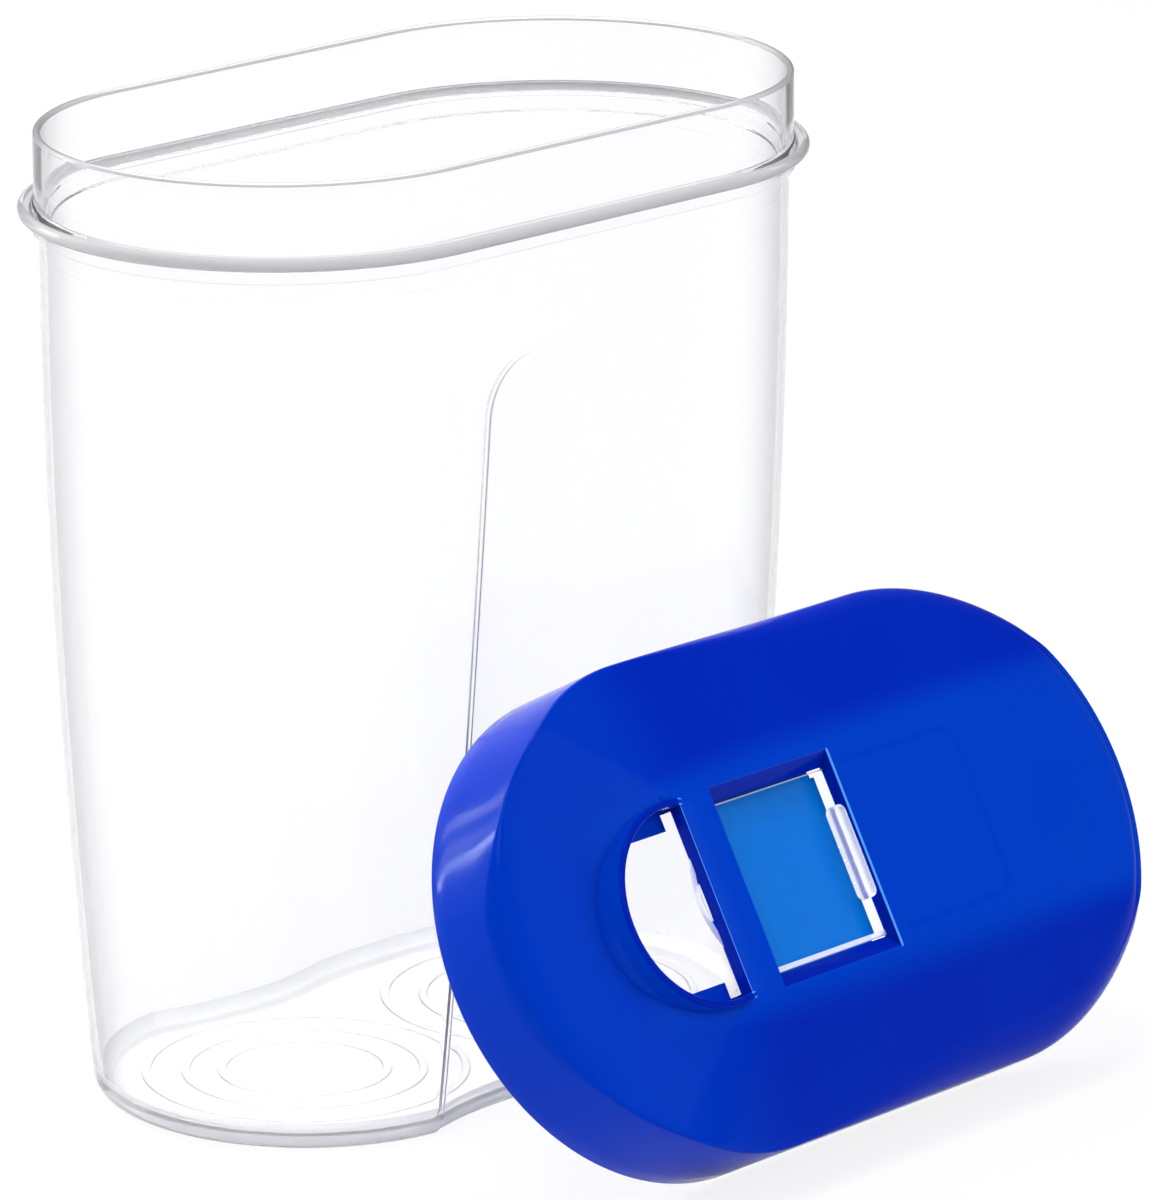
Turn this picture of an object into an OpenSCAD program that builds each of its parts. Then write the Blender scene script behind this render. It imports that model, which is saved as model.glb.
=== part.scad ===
// Cereal container: a clear oval tub and a blue pour lid whose spout is closed by a slider.
// Millimetres. The origin is the middle of the container's foot, X runs along its long
// side and +Z is up. The lid and its slider are drawn in the lid's own frame, with the
// rim on z = 0 and the pour end towards -X, and are then placed: leaning against the
// container, as a lid is put down, or seated on the neck.

/* [Container] */
// Height of the container to its rim
body_h = 219; // [180:1:250]
// Length of the neck over its outside
neck_l = 190; // [176:1:210]
// Width of the neck over its outside
neck_w = 106.6; // [96:0.2:116]
// Height of the neck above the flange
neck_h = 15.7; // [14:0.1:17]
// How far the body stands in from the neck, below the flange
neck_step = 1; // [0.4:0.1:1.6]
// Length of the foot
base_l = 166; // [150:1:176]
// Width of the foot
base_w = 96; // [88:0.5:100]
// How strongly the walls curve in towards the foot
body_bow = 1.05; // [0.4:0.01:1.1]
// Wall thickness of the body and neck
wall = 1.8; // [1.4:0.1:2.4]
// Thickness of the floor
floor_t = 3.4; // [2.4:0.1:5]
// Radius of the edge round the foot
foot_r = 4; // [2.5:0.1:6]

/* [Flange] */
// How far the flange stands out from the neck
flange_out = 3.6; // [2.5:0.1:5]
// Thickness of the flange, whose edge is a half round
flange_t = 3; // [2:0.1:3.6]
// Height of the thickened band under the flange
band_h = 3.5; // [1:0.1:6]
// Thickness that the band adds to the wall
band_t = 0.5; // [0.2:0.1:0.9]

/* [Grip recesses] */
// Middle of the recesses along the container
grip_x = -10; // [-16:0.5:10]
// Height of the arched top of the recesses
grip_top = 174; // [130:1:178]
// Width of a recess at its foot
grip_foot_w = 62; // [40:1:68]
// Width of a recess at its top, before the corners are rounded
grip_top_w = 38; // [30:1:40]
// Depth of a recess at its foot
grip_depth = 4.7; // [1:0.1:5.5]
// Radius of the upper corners
grip_corner = 13; // [6:0.5:15]

/* [Floor pads] */
// Radius of the two round pads on the floor, which all but meet in the middle
pad_r = 36.5; // [24:0.5:36.5]
// Height of the pads
pad_h = 0.5; // [0.3:0.1:1]
// Radius of the inner ring on each pad
ring_r = 18.4; // [10:0.1:20]
// Radius of the outer ring on each pad
ring2_r = 26.5; // [22:0.1:28]
// Radius of the low disc in the middle of the floor
gate_r = 7.5; // [3:0.5:10]

/* [Lid shell] */
// Wall thickness of the lid
lid_wall = 1.5; // [1.2:0.1:2]
// Clearance between the neck and the lid's skirt
lid_fit = 0.5; // [0.3:0.05:0.8]
// Height of the lid
lid_h = 33.5; // [32.5:0.1:38]
// Slope of the lid's long sides and of its pour end, in degrees
lid_slope = 15.1; // [12:0.1:15.6]
// Fall of the lid towards its far end, in degrees
far_slope = 3; // [1:0.1:5]
// Width of the flat top
top_w = 48; // [47:0.5:54]
// Length of the slope at the pour end, from the skirt to the flat top
pour_run = 49; // [45:0.5:50]
// Length of the gentle slope at the far end
far_run = 47; // [41:0.5:49]
// Edge radius at the far end
far_r = 10; // [6:0.5:12]
// Edge radius along the crease beside the spout
crease_r = 0.9; // [0.6:0.1:3]
// Edge radius at the pour tip
tip_r = 7; // [3:0.5:8]

/* [Lid seal] */
// How far the seal wall reaches down inside the neck
seal_in = 3.3; // [2:0.1:6]
// Clearance between the seal wall and the neck
seal_fit = 0.4; // [0.3:0.05:0.8]
// Thickness of the seal wall
seal_t = 1.3; // [1:0.1:1.8]

/* [Spout] */
// Radius of the round side of the pour opening
spout_r = 21.8; // [20.6:0.1:23]
// Distance of that circle's middle from the lid's pour end
spout_in = 46.8; // [45:0.1:48]
// Distance from that middle to the opening's straight side
spout_cut = 4.2; // [2:0.1:6]
// Wall of the raised collar at its top
collar_t = 1.6; // [1.2:0.1:2.2]
// How much wider the collar is at its foot
collar_flare = 1.6; // [0.5:0.1:2.5]

/* [Window and rails] */
// Width of the bar between the pour opening and the window
bar_w = 10; // [7:0.1:13]
// Thickness of the bar and of the frame round the window
bar_t = 3.4; // [2.6:0.1:3.8]
// Length of the window
window_l = 38.3; // [36:0.1:42]
// How much the window widens on each side towards its top
window_flare = 3.4; // [1:0.1:3.6]
// Thickness of the floor under the window and of the rails' lips
rail_t = 1.3; // [1:0.1:1.8]
// Thickness of the rails' webs
rail_web = 1.5; // [1.2:0.1:2]
// Width of the rails' lips, and of the ledges that carry them on across the spout
rail_lip = 2.4; // [2:0.1:5]
// Width of the slot across the far end of the window's floor
slot_w = 4.5; // [3:0.1:6]
// How far the window's floor stops short of the window's end
slot_back = 1.3; // [0.5:0.1:2]
// How much wider the slot is at its two ends
slot_notch = 1.2; // [0.5:0.1:2]

/* [Slider] */
// Width of the slider
slider_w = 38.8; // [36:0.1:40]
// Thickness of the slider
slider_t = 1.8; // [1.4:0.1:2.2]
// Length of the slider
slider_l = 89; // [80:0.5:92]
// Clearance all round the slider
slide_fit = 0.3; // [0.2:0.05:0.4]
// Travel between open and closed
slide_travel = 24.5; // [22:0.5:26]
// Radius of the slider's tail corners
tail_r = 5; // [2:0.5:8]
// Length of the finger tab across the slider
tab_l = 21.5; // [16:0.5:26]
// Width of the finger tab
tab_w = 3.6; // [3:0.1:6]
// Height of the finger tab above the slider
tab_h = 3; // [2:0.1:3.4]

/* [Pose] */
// Where the lid is drawn
lid_place = "leaning"; // [leaning, seated]
// Share of the travel by which the slider is closed
closed = 0; // [0:0.05:1]
// How far the standing lid leans back, in degrees
lean = 29.3; // [20:0.1:40]
// How far the standing lid is turned from the container's side, in degrees
turn = 2.5; // [0:0.1:8]
// Distance of the standing lid's middle from the container's middle along X
aside = 25.25; // [0:0.25:60]
// Gap between the standing lid and the container
rest_gap = 0.3; // [0.3:0.1:1]

/* [Hidden] */
$fn = 96;
eps = 0.01;

// Container sizes
neck_a = neck_l / 2;
neck_b = neck_w / 2;
flange_top = body_h - neck_h;
flange_z = flange_top - flange_t;
top_a = neck_a - neck_step;
top_b = neck_b - neck_step;
foot_a = base_l / 2;
foot_b = base_w / 2;
cavity_r = max(foot_r - wall / 2, 1);

// Lid sizes
lid_a = neck_a + lid_fit + lid_wall;
lid_b = neck_b + lid_fit + lid_wall;
lid_c = lid_a - lid_b;
top_half = top_w / 2;
top_front = lid_a - pour_run;
top_back = lid_a - far_run;
top_mid = (top_back - top_front) / 2;
soft = 0.8;
seal_a = neck_a - wall - seal_fit;
seal_b = neck_b - wall - seal_fit;
seal_z = neck_h - seal_in;

// Slider channel, from the top down
spout_x = lid_a - spout_in;
frame_z = lid_h - bar_t;
slider_top = frame_z - slide_fit;
slider_z = slider_top - slider_t;
shelf_z = slider_z - slide_fit;
rail_z = shelf_z - rail_t;
channel_half = slider_w / 2 + slide_fit;
bar_x = -spout_x + spout_cut;
window_x = bar_x + bar_w;
window_end = window_x + window_l;
front_r = spout_r - slide_fit - 0.2;
slider_x = -spout_x + (1 - closed) * slide_travel;
tail_x = slider_l - front_r;
tab_x = window_end - slide_fit - tab_w / 2 + spout_x - slide_travel;
rail_end = -spout_x + slide_travel + tail_x + 4;

// Parts of the lean: the lid stands on the lower edge of its rim, and the upper edge of
// the rim comes within rest_gap of the container's wall at that edge's height
lean_top = 2 * lid_b * cos(lean);
lean_reach = (body_a(lean_top) - body_b(lean_top)) * sin(turn) + body_b(lean_top);
lean_y = (aside * sin(turn) - lid_b * sin(lean) - lean_reach - rest_gap) / cos(turn);

function mix(a, b, t) = a + (b - a) * t;
function sum(list, i = 0) = i == len(list) ? 0 : list[i] + sum(list, i + 1);
function ease(t) = let (u = max(0, min(1, t))) u * u * (3 - 2 * u);
// Lesser of two heights, with the edge where they cross rounded over a height k
function soft_min(p, q, k) = let (h = max(k - abs(p - q), 0)) min(p, q) - h * h / (4 * k);

// Half length and half width of the body at a height
function bow(z) = let (s = (flange_z - min(z, flange_z)) / flange_z) s - body_bow * s * (1 - s);
function body_a(z) = mix(top_a, foot_a, bow(z));
function body_b(z) = mix(top_b, foot_b, bow(z));

// Grip recess: half width at a height, with rounded upper corners, and depth at a height
function grip_half(z) =
    let (d = max(grip_top - z, 0), w = mix(grip_top_w, grip_foot_w, d / grip_top) / 2,
         r = min(d, grip_corner))
    w - grip_corner + sqrt(grip_corner * grip_corner - (grip_corner - r) * (grip_corner - r));
function grip_fall(z) = grip_depth * pow(max(grip_top - z, 0) / grip_top, 0.6);
// Section of the recess: a crisp edge at u = -1, and an edge that runs out at u = 1
function grip_shape(u) = u < 0 ? 1 - pow(-u, 2.6) : 1 - ease(u);
grip_cols = [-1, -0.93, -0.85, -0.75, -0.62, -0.46, -0.25, 0, 0.16, 0.3, 0.43, 0.56, 0.7, 0.84, 1];

// Half width of an oval at x, for half length a and half width b
function oval_y(x, a, b) =
    let (o = abs(x) - (a - b))
    o <= 0 ? b : sqrt(max(0, b * b - o * o));
// Angle by which a recess edge at x has run onto the oval's end arc
function over_arc(x, a, b) = asin(max(0, min(0.9, (abs(x) - (a - b)) / b)));

// One level of the body or of its cavity: inset from the outside by d, with the grips
function body_level(z, d) =
    let (a = body_a(z) - d, b = body_b(z) - d, g = grip_half(z), fall = grip_fall(z),
         xs = [for (u = grip_cols) grip_x + g * u],
         ys = [for (i = [0:len(xs) - 1]) oval_y(xs[i], a, b) - fall * grip_shape(grip_cols[i])],
         far = 90 - over_arc(grip_x + g, a, b) - 1.5,
         near = 90 - over_arc(grip_x - g, a, b) - 1.5,
         n = 18)
    concat(
        [for (i = [0:len(xs) - 1]) [xs[i], -ys[i], z]],
        [for (i = [0:n]) let (t = mix(-far, far, i / n)) [a - b + b * cos(t), b * sin(t), z]],
        [for (i = [len(xs) - 1:-1:0]) [xs[i], ys[i], z]],
        [for (i = [0:n]) let (t = mix(180 - near, 180 + near, i / n)) [b - a + b * cos(t), b * sin(t), z]]);

// Heights of the levels above the foot's edge; they crowd where the recess arches over
body_levels = concat(
    [for (t = [0.12, 0.25, 0.4, 0.55, 0.7, 0.82]) mix(foot_r + 1, grip_top - grip_corner, t)],
    [for (t = [1, 0.72, 0.45, 0.22, 0.07, 0.01]) grip_top - grip_corner * t]);

// Closed solid through a stack of levels that all have the same number of points; each end
// is closed by a fan round its middle
module loft(levels) {
    n = len(levels[0]);
    m = len(levels);
    middle = [for (l = [levels[0], levels[m - 1]]) [for (k = [0, 1, 2]) sum([for (p = l) p[k]]) / n]];
    polyhedron(
        points = concat([for (l = levels) each l], middle),
        faces = concat(
            [for (i = [0:n - 1]) [m * n, i, (i + 1) % n]],
            [for (j = [0:m - 2], i = [0:n - 1]) [j * n + i, (j + 1) * n + (i + 1) % n, j * n + (i + 1) % n]],
            [for (j = [0:m - 2], i = [0:n - 1]) [j * n + i, (j + 1) * n + i, (j + 1) * n + (i + 1) % n]],
            [for (i = [0:n - 1]) [m * n + 1, (m - 1) * n + (i + 1) % n, (m - 1) * n + i]]));
}

// Sweeps a profile round an oval; the profile's x is measured outwards from the oval's line
module sweep_oval(a, b) {
    for (s = [-1, 1])
        translate([s * (a - b), 0, 0])
            rotate(s * 90 - 180)
                rotate_extrude(angle = 180)
                    translate([b, 0])
                        children();
    for (s = [-1, 1])
        translate([-s * (a - b), 0, 0])
            rotate([90, 0, 90 - s * 90 + 90])
                linear_extrude(2 * (a - b))
                    translate([b, 0])
                        children();
}

module oval(a, b) {
    for (s = [-1, 1])
        translate([s * (a - b), 0])
            circle(b);
    square([2 * (a - b), 2 * b], center = true);
}

// Half-round bead that forms a ring
module ring_bead(r, w, h, z) {
    translate([0, 0, z])
        rotate_extrude()
            translate([r, 0])
                polygon([[-w, -0.2], [w, -0.2], [w, 0], [w / 2, h], [-w / 2, h], [-w, 0]]);
}

// Body in one skin: up the outside from the foot, over, and down the inside to the floor
module body() {
    outside = concat(
        [for (t = [0, 30, 60]) body_level(foot_r * (1 - cos(t)), foot_r * (1 - sin(t)))],
        [body_level(foot_r, 0)],
        [for (z = body_levels) body_level(z, 0)],
        [body_level(mix(grip_top, flange_z, 0.6), 0), body_level(flange_z + flange_t / 2, 0)]);
    inside = concat(
        [for (t = [0, 30, 60]) body_level(floor_t + cavity_r * (1 - cos(t)), wall + cavity_r * (1 - sin(t)))],
        [body_level(floor_t + cavity_r, wall)],
        [for (z = body_levels) if (z > floor_t + cavity_r + 1) body_level(z, wall)],
        [body_level(mix(grip_top, flange_z, 0.6), wall), body_level(flange_z + flange_t / 2, wall)]);
    loft(concat(outside, [for (i = [len(inside) - 1:-1:0]) inside[i]]));
}

// Neck with a rounded rim, flange with a half-round edge, and the band below it
module neck_profile() {
    rim_r = wall / 2;
    translate([-wall, flange_z + flange_t / 4])
        square([wall, body_h - rim_r - flange_z - flange_t / 4]);
    translate([-rim_r, body_h - rim_r])
        circle(rim_r, $fn = 32);
    translate([-wall, flange_z])
        square([wall + flange_out - flange_t / 2, flange_t]);
    translate([flange_out - flange_t / 2, flange_z + flange_t / 2])
        circle(flange_t / 2, $fn = 32);
    translate([-wall - neck_step + 0.6, flange_z - band_h])
        square([wall - 0.6 + band_t, band_h + flange_t / 2]);
}

module container() {
    color([0.86, 0.9, 0.94, 0.45]) {
        body();
        sweep_oval(neck_a, neck_b)
            neck_profile();
        translate([0, 0, floor_t - pad_h])
            cylinder(r = gate_r, h = 1.6 * pad_h);
        for (s = [-1, 1])
            translate([s * (pad_r + 0.4), 0, 0]) {
                ring_bead(ring_r, 1.1, pad_h, floor_t);
                ring_bead(ring2_r, 1.1, pad_h, floor_t);
                ring_bead(pad_r - 1.2, 1.2, pad_h, floor_t);
            }
    }
}

// Height of the lid's top above a point: a flat top, falling to both long sides, to the
// pour end and gently to the far end
function roof(x, y) =
    let (side = lid_h - tan(lid_slope) * (abs(y) - top_half),
         front = lid_h - tan(lid_slope) * (-x - top_front),
         back = lid_h - tan(far_slope) * (x - top_back))
    soft_min(soft_min(soft_min(lid_h, side, soft), front, soft), back, soft);

// Angle on an end arc of radius b where the ridge between two slopes reaches the skirt.
// The ridge starts v beyond the arc's middle and runs out by m for each millimetre.
function ridge_angle(v, m, b) =
    let (p = v + top_half * m, q = v * v + top_half * top_half - b * b,
         t = (-p + sqrt(p * p - (1 + m * m) * q)) / (1 + m * m))
    atan2(top_half + m * t, v + t);

// Stations round the skirt, each [share of lid_c, direction]; they run anticlockwise
function half_arc(ridge, n1, n2) = concat(
    [for (i = [0:n1]) mix(90, ridge, i / n1)],
    [for (i = [1:n2]) mix(ridge, 0, i / n2)]);
function stations(b) =
    let (pour = half_arc(ridge_angle(top_front - lid_c, 1, b), 5, 8),
         back = half_arc(ridge_angle(top_back - lid_c, tan(far_slope) / tan(lid_slope), b), 8, 5),
         n = 10)
    concat(
        [for (t = back) [1, -t]],
        [for (i = [len(back) - 2:-1:0]) [1, back[i]]],
        [for (i = [1:n - 1]) [1 - 2 * i / n, 90]],
        [for (t = pour) [-1, 180 - t]],
        [for (i = [len(pour) - 2:-1:0]) [-1, 180 + pour[i]]],
        [for (i = [1:n - 1]) [-1 + 2 * i / n, -90]]);

// Edge radius at a station
function edge_r(s) =
    s[0] == 1 ? far_r :
    s[0] == -1 ? mix(tip_r, crease_r, ease((abs(180 - abs(s[1])) - 8) / 30)) :
    mix(crease_r, far_r, ease((s[0] + 1) / 1.7));
// Point of the flat top's outline that a station leads to
function top_point(s, b) =
    let (v = s[0] > 0 ? top_back - lid_c : top_front - lid_c,
         m = s[0] > 0 ? tan(far_slope) / tan(lid_slope) : 1,
         ridge = ridge_angle(v, m, b),
         t = s[0] > 0 ? abs(s[1]) : abs(180 - abs(s[1])),
         side = sin(s[1]) < 0 ? -1 : 1)
    abs(s[0]) < 1 ? [s[0] * lid_c, side * top_half] :
    t > ridge ? [s[0] * (lid_c + v * (90 - t) / (90 - ridge)), side * top_half] :
    [s[0] * (lid_c + v), side * top_half * sin(t) / sin(ridge)];

// Levels of the lid's outer skin (d = 0) or inner skin, from the rim up to the flat top
function skin(d) =
    let (b = lid_b - d,
         ss = [for (s = stations(b)) let (n = [cos(s[1]), sin(s[1])], p = [s[0] * lid_c + b * n[0], b * n[1]],
            r = max(edge_r(s) - d, 0.4), h = roof(p[0], p[1]) - d,
            g = (roof(p[0] - r * n[0], p[1] - r * n[1]) - d - h) / r)
            [p, n, r, h - r * (sqrt(1 + g * g) - g), 90 - atan(g), top_point(s, b)]])
    concat(
        [[for (s = ss) [s[0][0], s[0][1], 0]]],
        [for (t = [0, 0.2, 0.4, 0.6, 0.8, 1]) [for (s = ss) on_edge(s, t * s[4])]],
        [for (t = [0.35, 0.7, 1]) [for (s = ss) on_top(s, t, d)]],
        [[for (s = ss) [mix(top_mid, s[5][0], 0.8), s[5][1] * 0.8, lid_h - d]]]);
// A station here is its point, direction, edge radius, height of the edge's middle, turn of
// the edge and point on the flat top's outline
function on_edge(s, t) =
    [for (i = [0, 1]) s[0][i] - s[1][i] * s[2] * (1 - cos(t)), s[3] + s[2] * sin(t)];
function on_top(s, t, d) =
    let (e = on_edge(s, s[4]), x = mix(e[0], s[5][0], t), y = mix(e[1], s[5][1], t))
    [x, y, roof(x, y) - d];

// Lid in one skin: down the inside from the flat top, round the rim and up the outside
module shell() {
    inside = skin(lid_wall);
    loft(concat([for (i = [len(inside) - 1:-1:0]) inside[i]], skin(0)));
}

// Wall that hangs from the inside of the roof along an oval, to fit inside the neck
module seal_wall() {
    function ring(d) = let (b = seal_b - d)
        [for (s = stations(lid_b)) [s[0] * lid_c + b * cos(s[1]), b * sin(s[1])]];
    outer = ring(0);
    inner = ring(seal_t);
    n = len(outer);
    corner = [for (i = [0:n - 1]) [[inner[i], 0], [outer[i], 0], [outer[i], 1], [inner[i], 1]]];
    polyhedron(
        points = [for (c = corner) each [for (e = c)
            [e[0][0], e[0][1], e[1] == 0 ? seal_z : roof(e[0][0], e[0][1]) - lid_wall / 2]]],
        faces = [for (i = [0:n - 1], k = [0:3], h = [0, 1])
            let (p = 4 * i, q = 4 * ((i + 1) % n), l = (k + 1) % 4)
            h == 0 ? [p + k, q + l, q + k] : [p + k, p + l, q + l]]);
}

// Box from its low corner to its high corner
module span(lo, hi) {
    translate(lo)
        cube(hi - lo);
}

// Window frame, webs of the rails, and the floor that runs out into the rails' lips
module rails() {
    span([bar_x - eps, -channel_half - window_flare - 1.2, frame_z],
         [window_end + 2, channel_half + window_flare + 1.2, lid_h - lid_wall / 2]);
    for (s = [-1, 1])
        span([bar_x - eps, s * (channel_half + rail_web / 2) - rail_web / 2, rail_z],
             [rail_end, s * (channel_half + rail_web / 2) + rail_web / 2, lid_h - lid_wall / 2]);
    difference() {
        span([bar_x - eps, -channel_half - eps, rail_z], [rail_end, channel_half + eps, shelf_z]);
        span([window_end - slot_back + slot_w, -channel_half + rail_lip, 0],
             [rail_end + 1, channel_half - rail_lip, lid_h]);
    }
}

// Wall round the pour opening: a collar level with the flat top, flared at its foot, and
// two ledges inside it, in line with the rails' lips, that the closed slider rests on
module spout() {
    out = spout_r + collar_t;
    low = rail_z - 1.8;
    intersection() {
        union() {
            translate([-spout_x, 0, 0])
                rotate_extrude()
                    polygon([
                        [spout_r, low], [spout_r, lid_h],
                        [out - 0.6, lid_h], [out, lid_h - 0.6],
                        [out + 0.2, lid_h - 4.5], [out + collar_flare, lid_h - 8.5],
                        [out + collar_flare, low]]);
            intersection() {
                translate([-spout_x, 0, rail_z])
                    cylinder(r = spout_r + collar_t / 2, h = rail_t);
                for (s = [-1, 1])
                    translate([-spout_x - spout_r, s * (channel_half - rail_lip + spout_r / 2) - spout_r / 2, rail_z])
                        cube([2 * spout_r, spout_r, rail_t]);
            }
        }
        span([-lid_a, -lid_b, 0], [bar_x, lid_b, 2 * lid_h]);
    }
}

// Round hole with a straight side where the bar crosses it
module opening(r) {
    intersection() {
        translate([-spout_x, 0, 0])
            cylinder(r = r, h = 2 * lid_h);
        span([-lid_a, -lid_b, 0], [bar_x, lid_b, 2 * lid_h]);
    }
}

module lid_cuts() {
    // Gap between the ledge and the window's floor, under the bar
    span([bar_x - 1.3, -channel_half - 1.3, 0], [bar_x + 3.4, channel_half + 1.3, frame_z]);
    // Channel for the slider
    span([-spout_x, -channel_half, shelf_z], [rail_end + 1, channel_half, frame_z]);
    // Window with flared sides
    translate([window_x, 0, 0])
        rotate([90, 0, 90])
            linear_extrude(window_l)
                polygon([for (p = [[1, 0], [1, 2], [-1, 2], [-1, 0]])
                    [p[0] * (channel_half + p[1] * window_flare), frame_z + p[1] * bar_t]]);
    // Slot across the far end of the window's floor, wider at its two ends
    span([window_end - slot_back, -channel_half, 0],
         [window_end - slot_back + slot_w, channel_half, frame_z]);
    for (s = [-1, 1])
        span([window_end - slot_back - slot_notch, s * (channel_half - 0.4) - 1, 0],
             [window_end - slot_back + slot_w, s * (channel_half - 0.4) + 1, frame_z]);
}

module lid_shape() {
    difference() {
        union() {
            difference() {
                shell();
                opening(spout_r + collar_t / 2);
            }
            seal_wall();
            rails();
            spout();
        }
        lid_cuts();
    }
}

module slider_shape() {
    translate([0, 0, slider_z])
        linear_extrude(slider_t)
            intersection() {
                union() {
                    circle(front_r);
                    translate([0, -front_r])
                        square([tail_x - tail_r, 2 * front_r]);
                    for (s = [-1, 1])
                        translate([tail_x - tail_r, s * (slider_w / 2 - tail_r)])
                            circle(tail_r);
                    translate([0, -slider_w / 2 + tail_r])
                        square([tail_x, slider_w - 2 * tail_r]);
                }
                square([4 * slider_l, slider_w], center = true);
            }
    // Finger tab with a hollow in its top
    translate([tab_x, 0, slider_top - eps])
        difference() {
            pill(tab_w, tab_l, tab_h);
            translate([0, 0, tab_h - 0.5])
                pill(tab_w - 1.6, tab_l - 1.6, tab_h);
        }
}

module pill(w, l, h) {
    linear_extrude(h) {
        for (s = [-1, 1])
            translate([0, s * (l - w) / 2])
                circle(w / 2);
        square([w, l - w], center = true);
    }
}

module place_lid() {
    if (lid_place == "seated")
        translate([0, 0, flange_top + 0.3])
            children();
    else
        translate([aside, lean_y, lid_b * cos(lean)])
            rotate(turn)
                rotate([90 - lean, 0, 0])
                    children();
}

module lid() {
    color([0.02, 0.14, 0.72])
        place_lid()
            lid_shape();
}

module slider() {
    color([0.88, 0.9, 0.95, 0.6])
        place_lid()
            translate([slider_x, 0, 0])
                slider_shape();
}

container();
lid();
slider();
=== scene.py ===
"""Clear oval food container with its blue pour lid standing against it.

The container, the lid and the slider are rebuilt here as smooth, finely
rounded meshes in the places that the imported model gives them. Lengths in the
property groups are in metres; the mesh code works in millimetres and scales
each finished piece once.
"""

import math
from collections import namedtuple
from contextlib import contextmanager

import bmesh
import bpy
from mathutils import Matrix, Vector


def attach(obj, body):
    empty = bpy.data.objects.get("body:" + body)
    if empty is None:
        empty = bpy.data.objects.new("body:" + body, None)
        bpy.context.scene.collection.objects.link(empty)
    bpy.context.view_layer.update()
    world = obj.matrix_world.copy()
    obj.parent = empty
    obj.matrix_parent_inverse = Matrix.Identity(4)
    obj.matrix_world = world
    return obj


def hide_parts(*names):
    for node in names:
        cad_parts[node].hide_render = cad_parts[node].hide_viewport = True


bl_info = {
    "name": "Pour Lid Container",
    "version": (1, 0, 0),
    "blender": (4, 5, 0),
    "location": "View3D > Sidebar > Container",
    "description": "Clear food container with a blue pour lid and its slider",
    "category": "Add Mesh",
}

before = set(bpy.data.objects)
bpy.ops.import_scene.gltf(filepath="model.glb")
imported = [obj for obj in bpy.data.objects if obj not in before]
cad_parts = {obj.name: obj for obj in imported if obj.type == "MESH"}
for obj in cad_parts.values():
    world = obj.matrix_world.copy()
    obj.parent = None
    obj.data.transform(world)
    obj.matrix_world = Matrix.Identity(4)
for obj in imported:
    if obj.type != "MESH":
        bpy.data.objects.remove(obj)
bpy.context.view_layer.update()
MM = 0.001


def length(name, description, value):
    """Length property, given in millimetres and stored in metres."""
    return bpy.props.FloatProperty(
        name=name, description=description, default=value * MM, unit="LENGTH", precision=5
    )


def angle(name, description, degrees):
    return bpy.props.FloatProperty(
        name=name, description=description, default=math.radians(degrees), unit="ROTATION"
    )


def colour(name, description, value):
    return bpy.props.FloatVectorProperty(
        name=name, description=description, default=value, size=3, subtype="COLOR", min=0, max=1
    )


class ContainerSizes(bpy.types.PropertyGroup):
    """Sizes of the clear container."""

    body_h: length("Height", "Height of the container to its rim", 219)
    neck_l: length("Neck length", "Length of the neck over its outside", 190)
    neck_w: length("Neck width", "Width of the neck over its outside", 106.6)
    neck_h: length("Neck height", "Height of the neck above the flange", 15.7)
    neck_step: length("Neck step", "How far the body stands in from the neck", 1)
    base_l: length("Foot length", "Length of the foot", 166)
    base_w: length("Foot width", "Width of the foot", 96)
    wall: length("Wall", "Thickness of the walls", 1.8)
    floor_t: length("Floor", "Thickness of the floor", 3.4)
    foot_r: length("Foot edge", "Radius of the edge round the foot", 4)
    flange_out: length("Flange", "How far the flange stands out", 3.6)
    flange_t: length("Flange thickness", "Thickness of the flange", 3)
    band_h: length("Band", "Height of the band under the flange", 3.5)
    band_t: length("Band thickness", "Thickness that the band adds", 0.5)
    grip_x: length("Grip place", "Middle of the grips along the container", -10)
    grip_top: length("Grip height", "Height of the arched top of the grips", 174)
    grip_foot_w: length("Grip foot", "Width of a grip at its foot", 62)
    grip_top_w: length("Grip top", "Width of a grip at its top", 38)
    grip_depth: length("Grip depth", "Depth of a grip at its foot", 4.7)
    grip_corner: length("Grip corner", "Radius of the grips' upper corners", 13)
    pad_r: length("Pad", "Radius of the floor's two round pads", 36.5)
    ring_r: length("Inner ring", "Radius of the inner ring on each pad", 18.4)
    ring2_r: length("Outer ring", "Radius of the outer ring on each pad", 26.5)
    pad_h: length("Bead height", "Height of the rings", 0.5)
    body_bow: bpy.props.FloatProperty(
        name="Bow", description="How strongly the walls curve in", default=1.05
    )


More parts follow.
